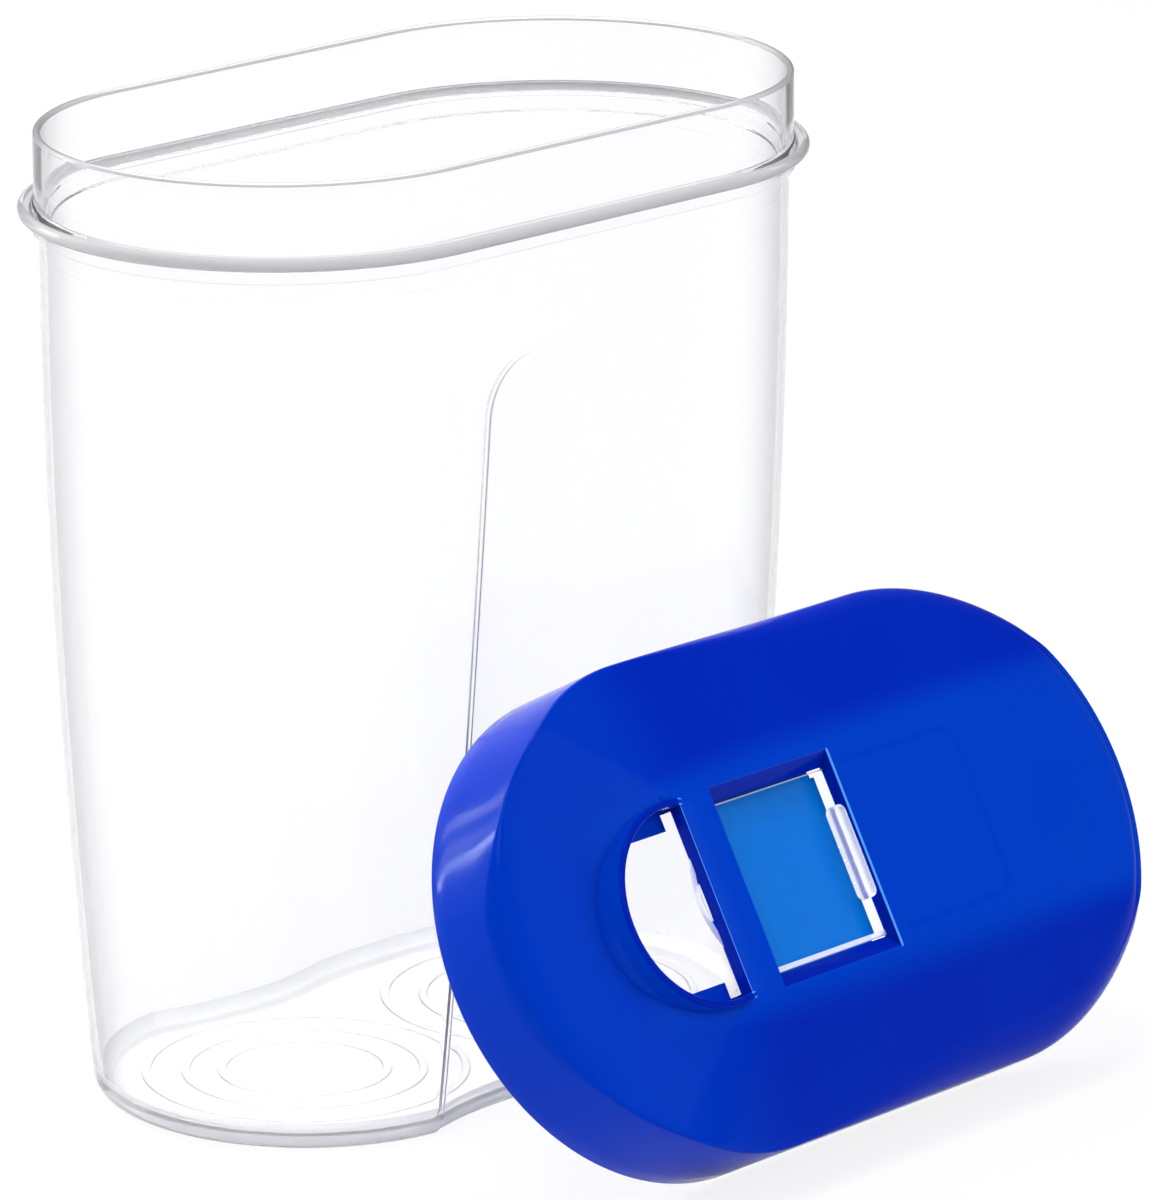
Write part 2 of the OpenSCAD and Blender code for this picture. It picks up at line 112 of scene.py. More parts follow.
class LidSizes(bpy.types.PropertyGroup):
    """Sizes of the blue lid, in its own frame with the rim on z = 0."""

    wall: length("Wall", "Thickness of the lid", 1.5)
    fit: length("Fit", "Clearance between the neck and the skirt", 0.5)
    height: length("Height", "Height of the lid", 33.5)
    slope: angle("Slope", "Slope of the long sides and the pour end", 15.1)
    far_slope: angle("Far slope", "Fall of the lid towards its far end", 3)
    top_w: length("Top width", "Width of the flat top", 48)
    pour_run: length("Pour slope", "Length of the slope at the pour end", 49)
    far_run: length("Far slope length", "Length of the slope at the far end", 47)
    far_r: length("Far edge", "Edge radius at the far end", 10)
    crease_r: length("Crease", "Edge radius along the crease beside the spout", 0.9)
    tip_r: length("Tip edge", "Edge radius at the pour tip", 7)
    seal_in: length("Seal", "How far the seal wall reaches into the neck", 3.3)
    seal_fit: length("Seal fit", "Clearance between the seal wall and the neck", 0.4)
    seal_t: length("Seal thickness", "Thickness of the seal wall", 1.3)
    spout_r: length("Spout", "Radius of the pour opening", 21.8)
    spout_in: length("Spout place", "Middle of the spout from the pour end", 46.8)
    spout_cut: length("Spout cut", "From that middle to the straight side", 4.2)
    collar_t: length("Collar", "Wall of the collar at its top", 1.6)
    collar_flare: length("Collar flare", "How much wider the collar is below", 1.6)
    bar_w: length("Bar", "Width of the bar beside the spout", 10)
    bar_t: length("Bar thickness", "Thickness of the bar", 3.4)
    window_l: length("Window", "Length of the window", 38.3)
    window_flare: length("Window flare", "How much the window widens", 3.4)
    rail_t: length("Rail floor", "Thickness of the floor under the window", 1.3)
    rail_web: length("Rail web", "Thickness of the rails' webs", 1.5)
    rail_lip: length("Rail lip", "Width of the rails' lips and of the spout's ledges", 2.4)
    slot_w: length("Slot", "Width of the slot in the window's floor", 4.5)
    slot_back: length("Slot place", "How far the floor stops short", 1.3)
    slot_notch: length("Slot ends", "How much wider the slot's ends are", 1.2)
    lean: angle("Lean", "How far the lid leans back", 29.3)
    turn: angle("Turn", "How far the lid is turned from the container", 2.5)
    aside: length("Aside", "Middle of the lid along the container", 25.25)
    rest_gap: length("Gap", "Gap between the lid and the container", 0.3)
    edge: length("Edge chamfer", "Chamfer on the openings' upper edges", 0.35)


class SliderSizes(bpy.types.PropertyGroup):
    """Sizes of the clear slider."""

    width: length("Width", "Width of the slider", 38.8)
    thick: length("Thickness", "Thickness of the slider", 1.8)
    long: length("Length", "Length of the slider", 89)
    fit: length("Clearance", "Clearance all round the slider", 0.3)
    travel: length("Travel", "Travel between open and closed", 24.5)
    tail_r: length("Tail corners", "Radius of the tail's corners", 5)
    tab_l: length("Tab length", "Length of the finger tab", 21.5)
    tab_w: length("Tab width", "Width of the finger tab", 3.6)
    tab_h: length("Tab height", "Height of the finger tab", 3)
    edge_r: length("Edge radius", "Radius of the plate's edges", 0.7)


class Finishes(bpy.types.PropertyGroup):
    """Colours of the three plastics and of the stage."""

    clear: colour("Clear", "Tint of the clear container", (0.971, 0.972, 0.977))
    clear_depth: colour(
        "Clear depth", "Tint of the clear plastic where it is deep", (0.8, 0.8, 0.815)
    )
    # Painted shade: greys the clear plastic where its wall is seen edge on.
    clear_edge: colour(
        "Clear edge", "Tint of the clear plastic where it is seen edge on", (0.54, 0.54, 0.56)
    )
    # Painted shade: this slightly greyer, strongly hazed tint draws grey lines along the creases.
    clear_crease: colour(
        "Clear crease", "Tint of the clear plastic along its moulded creases", (0.96, 0.96, 0.97)
    )
    blue: colour("Blue", "Colour of the lid", (0.0, 0.0155, 0.365))
    # Painted light: the lid's lighter blue on its flat top and, half as strong, at the pour end.
    blue_light: colour(
        "Blue, lighter", "Colour of the lid in its lighter places", (0.0, 0.038, 0.45)
    )
    # Painted light: the window's thin floor is lighter, as if lit through from behind.
    blue_thin: colour(
        "Blue, thin", "Colour of the lid where light passes it", (0.0, 0.093, 0.345)
    )
    # Painted shade: a darker blue on the window's walls, the bar's ends and the collar's top.
    blue_thick: colour("Blue, thick", "Colour of the lid's thick walls", (0.0, 0.012, 0.3))
    # Painted highlight: light lines on the chamfers along the bar and the window's end.
    blue_edge: colour("Blue, edges", "Colour of the edges that gather light", (0.08, 0.3, 0.8))
    milky: colour("Slider", "Tint of the slider", (0.9, 0.93, 1.0))
    floor: colour("Floor", "Colour of the floor", (0.9, 0.9, 0.91))


# ---------------------------------------------------------------- small maths


def mix(a, b, t):
    """Value that lies a share t of the way from a to b."""
    return a + (b - a) * t


def ease(t):
    """Smooth step from 0 to 1."""
    t = max(0.0, min(1.0, t))
    return t * t * (3 - 2 * t)


def compass(degrees):
    """Cosine and sine of an angle in degrees."""
    turn = math.radians(degrees)
    return math.cos(turn), math.sin(turn)


def soft_min(p, q, k):
    """Lesser of two heights, with the edge where they cross rounded."""
    h = max(k - abs(p - q), 0)
    return min(p, q) - h * h / (4 * k)


def rounded(corners, steps):
    """Polyline through (x, y, radius) corners, each inner one rounded in so many steps."""
    out = [corners[0][:2]]
    for before, corner, after in zip(corners, corners[1:], corners[2:]):
        p, r = Vector(corner[:2]), corner[2]
        a = (Vector(before[:2]) - p).normalized()
        b = (Vector(after[:2]) - p).normalized()
        half = a.angle(b) / 2
        start, end = p + a * (r / math.tan(half)), p + b * (r / math.tan(half))
        middle = p + (a + b).normalized() * (r / math.sin(half))
        u, v = start - middle, end - middle
        turn = u.angle_signed(v)
        for k in range(steps + 1):
            t = -turn * k / steps
            c, s = math.cos(t), math.sin(t)
            out.append((middle.x + u.x * c - u.y * s, middle.y + u.x * s + u.y * c))
    out.append(corners[-1][:2])
    return out


class Millimetres:
    """Reads a property group's lengths in millimetres."""

    def __init__(self, group):
        self.group = group

    def __getattr__(self, name):
        value = getattr(self.group, name)
        prop = self.group.bl_rna.properties[name]
        return value / MM if prop.unit == "LENGTH" else value


# ---------------------------------------------------------------- mesh making


def new_piece(name, verts, faces):
    """Mesh object from points in millimetres."""
    mesh = bpy.data.meshes.new(name)
    mesh.from_pydata([tuple(v) for v in verts], [], faces)
    mesh.transform(Matrix.Scale(MM, 4))
    mesh.validate()
    ob = bpy.data.objects.new(name, mesh)
    bpy.context.scene.collection.objects.link(ob)
    return ob


@contextmanager
def edited(ob):
    """Opens an object's mesh for editing and writes it back."""
    bm = bmesh.new()
    bm.from_mesh(ob.data)
    yield bm
    bm.to_mesh(ob.data)
    bm.free()


def outward(ob):
    """Turns all faces of a closed mesh outwards."""
    with edited(ob) as bm:
        bmesh.ops.recalc_face_normals(bm, faces=bm.faces)


def smooth(ob, degrees):
    """Smooth shading that keeps edges sharper than the angle."""
    with edited(ob) as bm:
        for face in bm.faces:
            face.smooth = True
        for edge in bm.edges:
            joined = len(edge.link_faces) == 2
            edge.smooth = joined and edge.calc_face_angle(0.0) < math.radians(degrees)


def cleaned(ob):
    """Merges the points that booleans leave on top of each other."""
    with edited(ob) as bm:
        bmesh.ops.remove_doubles(bm, verts=bm.verts, dist=0.0005 * MM)
        bmesh.ops.dissolve_degenerate(bm, edges=bm.edges, dist=0.0001 * MM)
    ob.data.validate()


def plain(ob):
    """Replaces an object's mesh by its evaluated result, without modifiers."""
    bpy.context.view_layer.update()
    graph = bpy.context.evaluated_depsgraph_get()
    mesh = bpy.data.meshes.new_from_object(ob.evaluated_get(graph))
    ob.modifiers.clear()
    ob.data = mesh
    mesh.name = ob.name


def combine(ob, tools, operation):
    """Boolean of ob with each tool in turn; the tools are used up."""
    for tool in tools:
        mod = ob.modifiers.new("combine", "BOOLEAN")
        mod.operation, mod.solver, mod.object = operation, "EXACT", tool
        plain(ob)
        bpy.data.objects.remove(tool)


def sides(n, m):
    """Quads between m rings of n points each."""
    return [
        (j * n + i, j * n + (i + 1) % n, (j + 1) * n + (i + 1) % n, (j + 1) * n + i)
        for j in range(m - 1)
        for i in range(n)
    ]


def skin(name, rings):
    """Closed surface through rings that run the same way round, with a fan on each end."""
    n, m = len(rings[0]), len(rings)
    points = [p for ring in rings for p in ring]
    for ring in (rings[0], rings[-1]):
        points.append(tuple(sum(p[k] for p in ring) / n for k in range(3)))
    faces = sides(n, m)
    faces += [(m * n, (i + 1) % n, i) for i in range(n)]
    faces += [(m * n + 1, (m - 1) * n + i, (m - 1) * n + (i + 1) % n) for i in range(n)]
    ob = new_piece(name, points, faces)
    outward(ob)
    return ob


def loops(name, rings):
    """Closed prism-like solid through a few rings, with flat ends."""
    n, m = len(rings[0]), len(rings)
    faces = sides(n, m)
    faces += [tuple(range(n - 1, -1, -1)), tuple((m - 1) * n + i for i in range(n))]
    ob = new_piece(name, [p for ring in rings for p in ring], faces)
    outward(ob)
    return ob


def hoop(name, sections):
    """Closed ring through equal sections, the last one joined to the first."""
    count, n = len(sections), len(sections[0])
    faces = [
        (
            k * n + i,
            (k + 1) % count * n + i,
            (k + 1) % count * n + (i + 1) % n,
            k * n + (i + 1) % n,
        )
        for k in range(count)
        for i in range(n)
    ]
    ob = new_piece(name, [p for section in sections for p in section], faces)
    outward(ob)
    return ob


def box(low, high):
    """Box between two corners."""
    (x0, y0, z0), (x1, y1, z1) = low, high
    return loops(
        "box", [[(x0, y0, z), (x1, y0, z), (x1, y1, z), (x0, y1, z)] for z in (z0, z1)]
    )


def paint(ob, materials, matrix, finish_at):
    """Gives each face the material that its place in the form asks for."""
    ob.data.materials.clear()
    for material in materials:
        ob.data.materials.append(material)
    back = matrix.inverted()
    turn_back = back.to_3x3()
    for face in ob.data.polygons:
        face.material_index = finish_at((back @ face.center) / MM, turn_back @ face.normal)


# ---------------------------------------------------------------- materials

# The part of its range that a noise texture mostly fills.
NOISE_LOW, NOISE_HIGH = 0.3, 0.7
# Refraction; it is kept low for the clear plastics, so that few bounces of light go lost.
CLEAR_IOR, SLIDER_IOR, BLUE_IOR = 1.14, 1.12, 1.46
# How strongly the clear plastic tints what passes deep through it, per metre.
CLEAR_DENSITY = 22
# What a lamp's light keeps of its colour after each clear face.
SHADOW_TINT = (0.95, 0.95, 0.96, 1)
# The blue plastic mirrors little, and what it mirrors turns blue.
BLUE_SHINE, BLUE_SHINE_TINT = 0.045, (0.4, 0.8, 1.0, 1)
# The lighter places in the slider's milky tint.
MILKY_LIGHT = (0.93, 0.95, 1.0)


def node(tree, kind, inputs=None, **settings):
    """New node; its inputs are set to values or linked to sockets."""
    new = tree.nodes.new(kind)
    for name, value in settings.items():
        setattr(new, name, value)
    for key, value in (inputs or {}).items():
        if isinstance(value, bpy.types.NodeSocket):
            tree.links.new(value, new.inputs[key])
        else:
            new.inputs[key].default_value = value
    return new


def principled(name, settings):
    """New material with its Principled shader set."""
    material = bpy.data.materials.new(name)
    material.use_nodes = True
    tree = material.node_tree
    shader = tree.nodes["Principled BSDF"]
    for socket, value in settings.items():
        shader.inputs[socket].default_value = value
    return material, tree, shader, tree.nodes["Material Output"]


def noise(tree, scale, detail=3.0, stretch=(1, 1, 1)):
    """Noise on Object coordinates, at a scale per metre."""
    coords = node(tree, "ShaderNodeTexCoord").outputs["Object"]
    place = node(tree, "ShaderNodeMapping", {"Vector": coords, "Scale": stretch}).outputs["Vector"]
    inputs = {"Vector": place, "Scale": scale, "Detail": detail}
    return node(tree, "ShaderNodeTexNoise", inputs).outputs["Fac"]


def fade(tree, value, start, end, low=0.0, high=1.0, curve="SMOOTHSTEP"):
    """Goes from low to high while the value goes from start to end."""
    inputs = {"Value": value, "From Min": start, "From Max": end, "To Min": low, "To Max": high}
    return node(tree, "ShaderNodeMapRange", inputs, interpolation_type=curve).outputs["Result"]


def spread(tree, value, low, high):
    """Spreads a noise over a range."""
    return fade(tree, value, NOISE_LOW, NOISE_HIGH, low, high, "LINEAR")


def maths(tree, operation, *values):
    """Math node fed with sockets or numbers."""
    return node(tree, "ShaderNodeMath", dict(enumerate(values)), operation=operation).outputs[0]


def blend_colour(tree, factor, a, b):
    """Goes from colour a to colour b with the factor."""
    inputs = {"Factor": factor, "A": (*a, 1), "B": (*b, 1)}
    return node(tree, "ShaderNodeMix", inputs, data_type="RGBA").outputs["Result"]


def blend_shader(tree, share, first, second):
    """Goes from the first shader to the second with the share."""
    inputs = {0: share, 1: first.outputs[0], 2: second.outputs[0]}
    return node(tree, "ShaderNodeMixShader", inputs)


def relief(tree, shader, height, distance, strength):
    """Bump on a shader; the distance is in metres."""
    bump = node(
        tree, "ShaderNodeBump", {"Height": height, "Distance": distance, "Strength": strength}
    )
    tree.links.new(bump.outputs["Normal"], shader.inputs["Normal"])


def lit_through(tree, shader, output):
    """Lets the lamps' light pass a clear plastic, so that it casts hardly any shadow."""
    shadow = node(tree, "ShaderNodeLightPath").outputs["Is Shadow Ray"]
    open_way = node(tree, "ShaderNodeBsdfTransparent", {"Color": SHADOW_TINT})
    join = blend_shader(tree, shadow, shader, open_way)
    tree.links.new(join.outputs[0], output.inputs["Surface"])


def clear_plastic(finish, name, clear, haze):
    """Clear plastic with a slight haze, and painted shade that greys it where the wall is seen
    edge on.
    """
    material, tree, shader, output = principled(
        name, {"Transmission Weight": 1 - haze, "IOR": CLEAR_IOR}
    )
    facing = node(tree, "ShaderNodeLayerWeight").outputs["Facing"]
    # Painted shade: the base colour greys towards the edge tint where the wall is seen edge on.
    edge = fade(tree, facing, 0.35, 1.0, curve="SMOOTHERSTEP")
    tint = blend_colour(tree, edge, clear, finish.clear_edge)
    tree.links.new(tint, shader.inputs["Base Color"])
    flow = noise(tree, 14, 2.0, (1, 1, 0.35))
    tree.links.new(spread(tree, flow, 0.012, 0.035), shader.inputs["Roughness"])
    relief(tree, shader, noise(tree, 9, 1.0, (1, 1, 0.5)), 0.0004, 0.25)
    depth = node(
        tree,
        "ShaderNodeVolumeAbsorption",
        {"Color": (*finish.clear_depth, 1), "Density": CLEAR_DENSITY},
    )
    tree.links.new(depth.outputs["Volume"], output.inputs["Volume"])
    lit_through(tree, shader, output)
    return material


def lid_painted_light(tree, form, flow):
    """Share of the lighter blue on the lid, which is painted light: full on the flat top, half at
    the pour end.

    The slider's tail lies close under the flat top, and its outline is painted on
    as a faint darker line of shade. Here too the lengths are in millimetres.
    """
    back = form.placed().inverted()
    coords = node(tree, "ShaderNodeTexCoord").outputs["Object"]
    own = node(
        tree,
        "ShaderNodeMapping",
        {
            "Vector": coords,
            "Location": back.translation / MM,
            "Rotation": back.to_euler(),
            "Scale": (1 / MM, 1 / MM, 1 / MM),
        },
    )
    x, y, z = node(tree, "ShaderNodeSeparateXYZ", {"Vector": own.outputs["Vector"]}).outputs
    aside = maths(tree, "ABSOLUTE", y)
    edge = form.top_half - 2
    # Painted light: lighter blue on the flat top, fading towards the slopes, and half as much at
    # the pour end.
    near_middle, high_up = fade(tree, aside, edge, edge + 11, 1, 0), fade(tree, z, 22, 31)
    top = maths(tree, "MULTIPLY", near_middle, high_up)
    pour = fade(tree, x, -62, -30, 0.55, 0.0)
    share = maths(tree, "MAXIMUM", top, pour)
    share = maths(tree, "ADD", share, spread(tree, flow, -0.12, 0.12))

    # Painted shade: a faint darker line along the outline of the slider's tail under the top.
    r = form.slider.tail_r
    tail, side = form.slider_x + form.tail_x - r, form.slider.width / 2 - r
    along = maths(tree, "MAXIMUM", maths(tree, "SUBTRACT", x, tail), 0)
    across = maths(tree, "MAXIMUM", maths(tree, "SUBTRACT", aside, side), 0)
    squares = maths(
        tree, "ADD", maths(tree, "POWER", along, 2), maths(tree, "POWER", across, 2)
    )
    off = maths(tree, "SUBTRACT", maths(tree, "SQRT", squares), r)
    line = fade(tree, maths(tree, "ABSOLUTE", off), 0.2, 1.1, 0.3, 0.0)
    beyond_window = fade(tree, x, form.window_end + 2, form.window_end + 5)
    return maths(tree, "SUBTRACT", share, maths(tree, "MULTIPLY", line, beyond_window))


def blue_plastic(name, dark, light, clear, form=None):
    """Glossy translucent blue, with the faint flow marks of a moulding; on the lid's main finish
    also painted light and a painted shade line.
    """
    material, tree, shader, _ = principled(
        name,
        {
            "IOR": BLUE_IOR,
            "Specular IOR Level": BLUE_SHINE,
            "Specular Tint": BLUE_SHINE_TINT,
            "Transmission Weight": clear,
        },
    )
    flow = noise(tree, 22, 3.0, (1, 0.6, 0.6))
    share = lid_painted_light(tree, form, flow) if form else spread(tree, flow, 0.0, 0.6)
    tree.links.new(blend_colour(tree, share, dark, light), shader.inputs["Base Color"])
    tree.links.new(spread(tree, noise(tree, 60, 4.0), 0.1, 0.17), shader.inputs["Roughness"])
    relief(tree, shader, noise(tree, 16, 2.0), 0.0004, 0.2)
    return material


def milky_plastic(name, tint, clear, rough):
    """Clear plastic, milky by what the transmission leaves over, with fine scratches."""
    material, tree, shader, output = principled(
        name, {"Transmission Weight": clear, "IOR": SLIDER_IOR}
    )
    colour_flow = spread(tree, noise(tree, 40), 0.0, 1.0)
    tree.links.new(blend_colour(tree, colour_flow, tint, MILKY_LIGHT), shader.inputs["Base Color"])
    scratches = noise(tree, 900, 2.0, (0.06, 1, 1))
    tree.links.new(spread(tree, scratches, rough, rough + 0.06), shader.inputs["Roughness"])
    relief(tree, shader, scratches, 0.0001, 0.12)
    lit_through(tree, shader, output)
    return material


# ---------------------------------------------------------------- container


class ContainerForm:
    """Outline of the container at any height, in millimetres."""

    # Finishes of the faces, in the order of their materials; the crease and foot finishes paint
    # grey shade.
    PLAIN, CREASE, FOOT = range(3)
    # Points from the left end to a grip, across the grip, and on to the right end.
    LEFT, ACROSS, RIGHT = 50, 44, 58
    # Rings up to the grips' corners, round their arch, and from there to the band.
    LOW, ARCH, HIGH = 34, 22, 6
    # A grip begins with a small step: its share of the depth and of half the width.
    STEP_DEEP, STEP_WIDE = 0.1, 0.045
    # How steadily a grip deepens towards its foot, and how full its hollow is.
    DEEPENING, FULLNESS = 0.6, 2.6
    # Sizes of the rings that close the foot and the floor.
    CLOSING = (0.35, 0.75, 0.97)

    def __init__(self, sizes):
        s = self.s = Millimetres(sizes)
        self.neck_a, self.neck_b = s.neck_l / 2, s.neck_w / 2
        self.flange_top = s.body_h - s.neck_h
        self.flange_z = self.flange_top - s.flange_t
        self.top_a, self.top_b = self.neck_a - s.neck_step, self.neck_b - s.neck_step
        self.foot_a, self.foot_b = s.base_l / 2, s.base_w / 2

    def bow(self, z):
        """Share of the way from the flange's outline to the foot's at a height."""
        t = (self.flange_z - min(z, self.flange_z)) / self.flange_z
        return t - self.s.body_bow * t * (1 - t)

    def half_length(self, z):
        return mix(self.top_a, self.foot_a, self.bow(z))

    def half_width(self, z):
        return mix(self.top_b, self.foot_b, self.bow(z))

    def grip_half(self, z):
        """Half the width of a grip at a height, with its upper corners rounded."""
        s = self.s
        d = max(s.grip_top - z, 0)
        w = mix(s.grip_top_w, s.grip_foot_w, d / s.grip_top) / 2
        r = min(d, s.grip_corner)
        return w - s.grip_corner + math.sqrt(s.grip_corner**2 - (s.grip_corner - r) ** 2)

    def grip_fall(self, z):
        """Depth of a grip at a height."""
        s = self.s
        return s.grip_depth * (max(s.grip_top - z, 0) / s.grip_top) ** self.DEEPENING

    def to_grip(self, b, c, left):
        """Points from the middle of the left end to the grip."""
        if left < -c:
            bend, straight = b * (math.pi / 2 - math.asin(min(1, (-left - c) / b))), 0
        else:
            bend, straight = b * math.pi / 2, left + c
        points = []
        for i in range(self.LEFT):
            d = (bend + straight) * i / self.LEFT
            if d <= bend:
                points.append((-c - b * math.cos(d / b), b * math.sin(d / b)))
            else:
                points.append((-c + d - bend, b))
        return points

    def across_grip(self, b, c, g, fall):
        """Points across the grip, sunk in the wall; they crowd at its crisp left edge."""
        points = []
        for i in range(self.ACROSS + 1):
            t = i / self.ACROSS
            u = -1 + 2 * (t**1.8 * 0.8 + t * 0.2)
            x = self.s.grip_x + g * u
            y = b if x > -c else math.sqrt(max(0, b * b - (x + c) ** 2))
            if u < 0:
                step, hollow = ease((1 + u) / self.STEP_WIDE), 1 - (-u) ** self.FULLNESS
                sunk = self.STEP_DEEP * step + (1 - self.STEP_DEEP) * hollow
            else:
                sunk = 1 - ease(u)
            points.append((x, y - fall * sunk))
        return points

    def from_grip(self, b, c, right):
        """Points from the grip to the middle of the right end."""
        straight, bend = c - right, b * math.pi / 2
        points = []
        for i in range(1, self.RIGHT + 1):
            d = (bend + straight) * i / self.RIGHT
            if d <= straight:
                points.append((right + d, b))
            else:
                e = (d - straight) / b
                points.append((c + b * math.sin(e), b * math.cos(e)))
        return points

    def level(self, z, a, b, fall):
        """Closed ring of points, from the left end round the front, with the grips sunk."""
        c, g, middle = a - b, self.grip_half(z), self.s.grip_x
        half = self.to_grip(b, c, middle - g)
        half += self.across_grip(b, c, g, fall)
        half += self.from_grip(b, c, middle + g)
        front = [(x, -y, z) for x, y in half]
        back = [(x, y, z) for x, y in half[1:-1]]
        return front + back[::-1]

    def body(self, z, inset):
        a, b = self.half_length(z) - inset, self.half_width(z) - inset
        return self.level(z, a, b, self.grip_fall(z))

    def neck(self, offset, z):
        """Level of the neck, whose columns stand over the closed top of the grips."""
        ring = self.level(self.s.grip_top, self.neck_a + offset, self.neck_b + offset, 0)
        return [(x, y, z) for x, y, _ in ring]

    def heights(self, start):
        """Heights from the foot's edge to the band; they crowd where the grips arch over."""
        s = self.s
        arch, band = s.grip_top - s.grip_corner, self.flange_z - s.band_h
        low = [mix(start, arch, (i / self.LOW) ** 0.9) for i in range(1, self.LOW)]
        rise = [compass(90 - 90 * i / self.ARCH)[0] for i in range(self.ARCH + 1)]
        curve = [s.grip_top - s.grip_corner * (1 - r) for r in rise]
        high = [mix(s.grip_top, band, i / self.HIGH) for i in range(1, self.HIGH)]
        return low + curve + high

    def flat(self, z, inset):
        """Rings that close a flat bottom, from its middle outwards."""
        ring = self.body(z, inset)
        return [[(x * k, y * k, z) for x, y, _ in ring] for k in self.CLOSING]

    def fillet(self, z, inset, r):
        """Rings round a bottom's edge, from the flat up to the wall."""
        turns = [compass(9 * i) for i in range(11)]
        return [self.body(z + r * (1 - c), inset + r * (1 - s)) for c, s in turns]

    def neck_profile(self):
        """Offsets and heights from the band over the flange and the rim to the inner wall."""
        s, flange, top = self.s, self.flange_z, self.flange_top
        band, inside = flange - s.band_h, -s.wall - s.neck_step
        return rounded(
            [
                (-s.neck_step, band - 4, 0),
                (-s.neck_step, band, 0.4),
                (s.band_t, band + 0.4, 0.6),
                (s.band_t, flange, 0.5),
                (s.flange_out, flange, 1.45),
                (s.flange_out, top, 1.45),
                (0, top, 0.7),
                (0, s.body_h, 0.88),
                (-s.wall, s.body_h, 0.88),
                (-s.wall, flange + 1.5, 0.5),
                (inside, flange + 1.2, 0.4),
                (inside, flange - 4, 0),
            ],
            7,
        )

    def rings(self):
        """Rings of the whole skin: foot, outer wall, neck, inner wall and floor."""
        s = self.s
        cavity = max(s.foot_r - s.wall / 2, 1)
        inner = [z for z in self.heights(s.floor_t + cavity) if z < self.flange_z - 6]
        return [
            *self.flat(0, s.foot_r),
            *self.fillet(0, 0, s.foot_r),
            *(self.body(z, 0) for z in self.heights(s.foot_r)),
            *(self.neck(offset, z) for offset, z in self.neck_profile()),
            *(self.body(z, s.wall) for z in reversed(inner)),
            *reversed(self.fillet(s.floor_t, s.wall, cavity)),
            *reversed(self.flat(s.floor_t, s.wall + cavity)),
        ]

    def finish_at(self, spot, normal):
        """Painted grey shade goes on the creases (the floor's edge, the rim, the flange and the
        front grip's step) and on the foot.
        """
        s, (x, y, z) = self.s, spot
        outside = x * normal.x + y * normal.y > 0
        if not outside and s.floor_t < z < s.floor_t + s.foot_r and normal.z < 0.95:
            return self.CREASE
        if z < s.foot_r:
            return self.FOOT
        if z > s.body_h - 0.9:
            return self.CREASE
        if self.flange_z < z < self.flange_top:
            return self.CREASE if outside else self.PLAIN
        g = self.grip_half(z)
        in_step = 0 < x - s.grip_x + g < self.STEP_WIDE * g
        return self.CREASE if in_step and y <= 0 and z <= s.grip_top else self.PLAIN


def ring_tree(material):
    """Node tree that lays raised rings on the two round pads of the floor."""
    tree = bpy.data.node_groups.new("Floor rings", "GeometryNodeTree")
    tree.interface.new_socket("Geometry", in_out="OUTPUT", socket_type="NodeSocketGeometry")
    radii = ("Inner radius", "Middle radius", "Outer radius")
    for name in (*radii, "Bead width", "Bead height", "Pad distance", "Floor height"):
        tree.interface.new_socket(name, in_out="INPUT", socket_type="NodeSocketFloat")
    given = node(tree, "NodeGroupInput").outputs

    def circle(resolution, radius):
        inputs = {"Resolution": resolution, "Radius": radius}
        return node(tree, "GeometryNodeCurvePrimitiveCircle", inputs).outputs["Curve"]

    def vector(**inputs):
        return node(tree, "ShaderNodeCombineXYZ", inputs).outputs[0]

    circles = node(tree, "GeometryNodeJoinGeometry")
    for name in radii:
        tree.links.new(circle(128, given[name]), circles.inputs[0])
    sweep = node(
        tree,
        "GeometryNodeCurveToMesh",
        {"Curve": circles.outputs[0], "Profile Curve": circle(12, given["Bead width"])},
    )
    flat = maths(tree, "DIVIDE", given["Bead height"], given["Bead width"])
    squash = node(
        tree,
        "GeometryNodeTransform",
        {"Geometry": sweep.outputs["Mesh"], "Scale": vector(X=1, Y=1, Z=flat)},
    )
    pads = node(
        tree,
        "GeometryNodeMeshLine",
        {
            "Count": 2,
            "Start Location": vector(X=given["Pad distance"], Z=given["Floor height"]),
            "Offset": vector(X=maths(tree, "MULTIPLY", given["Pad distance"], -2)),
        },
    )
    place = node(
        tree,
        "GeometryNodeInstanceOnPoints",
        {"Points": pads.outputs["Mesh"], "Instance": squash.outputs["Geometry"]},
    )
    real = node(tree, "GeometryNodeRealizeInstances", {0: place.outputs["Instances"]})
    inputs = {"Geometry": real.outputs[0], "Material": material}
    tinted = node(tree, "GeometryNodeSetMaterial", inputs)
    node(tree, "NodeGroupOutput", {0: tinted.outputs["Geometry"]})
    return tree


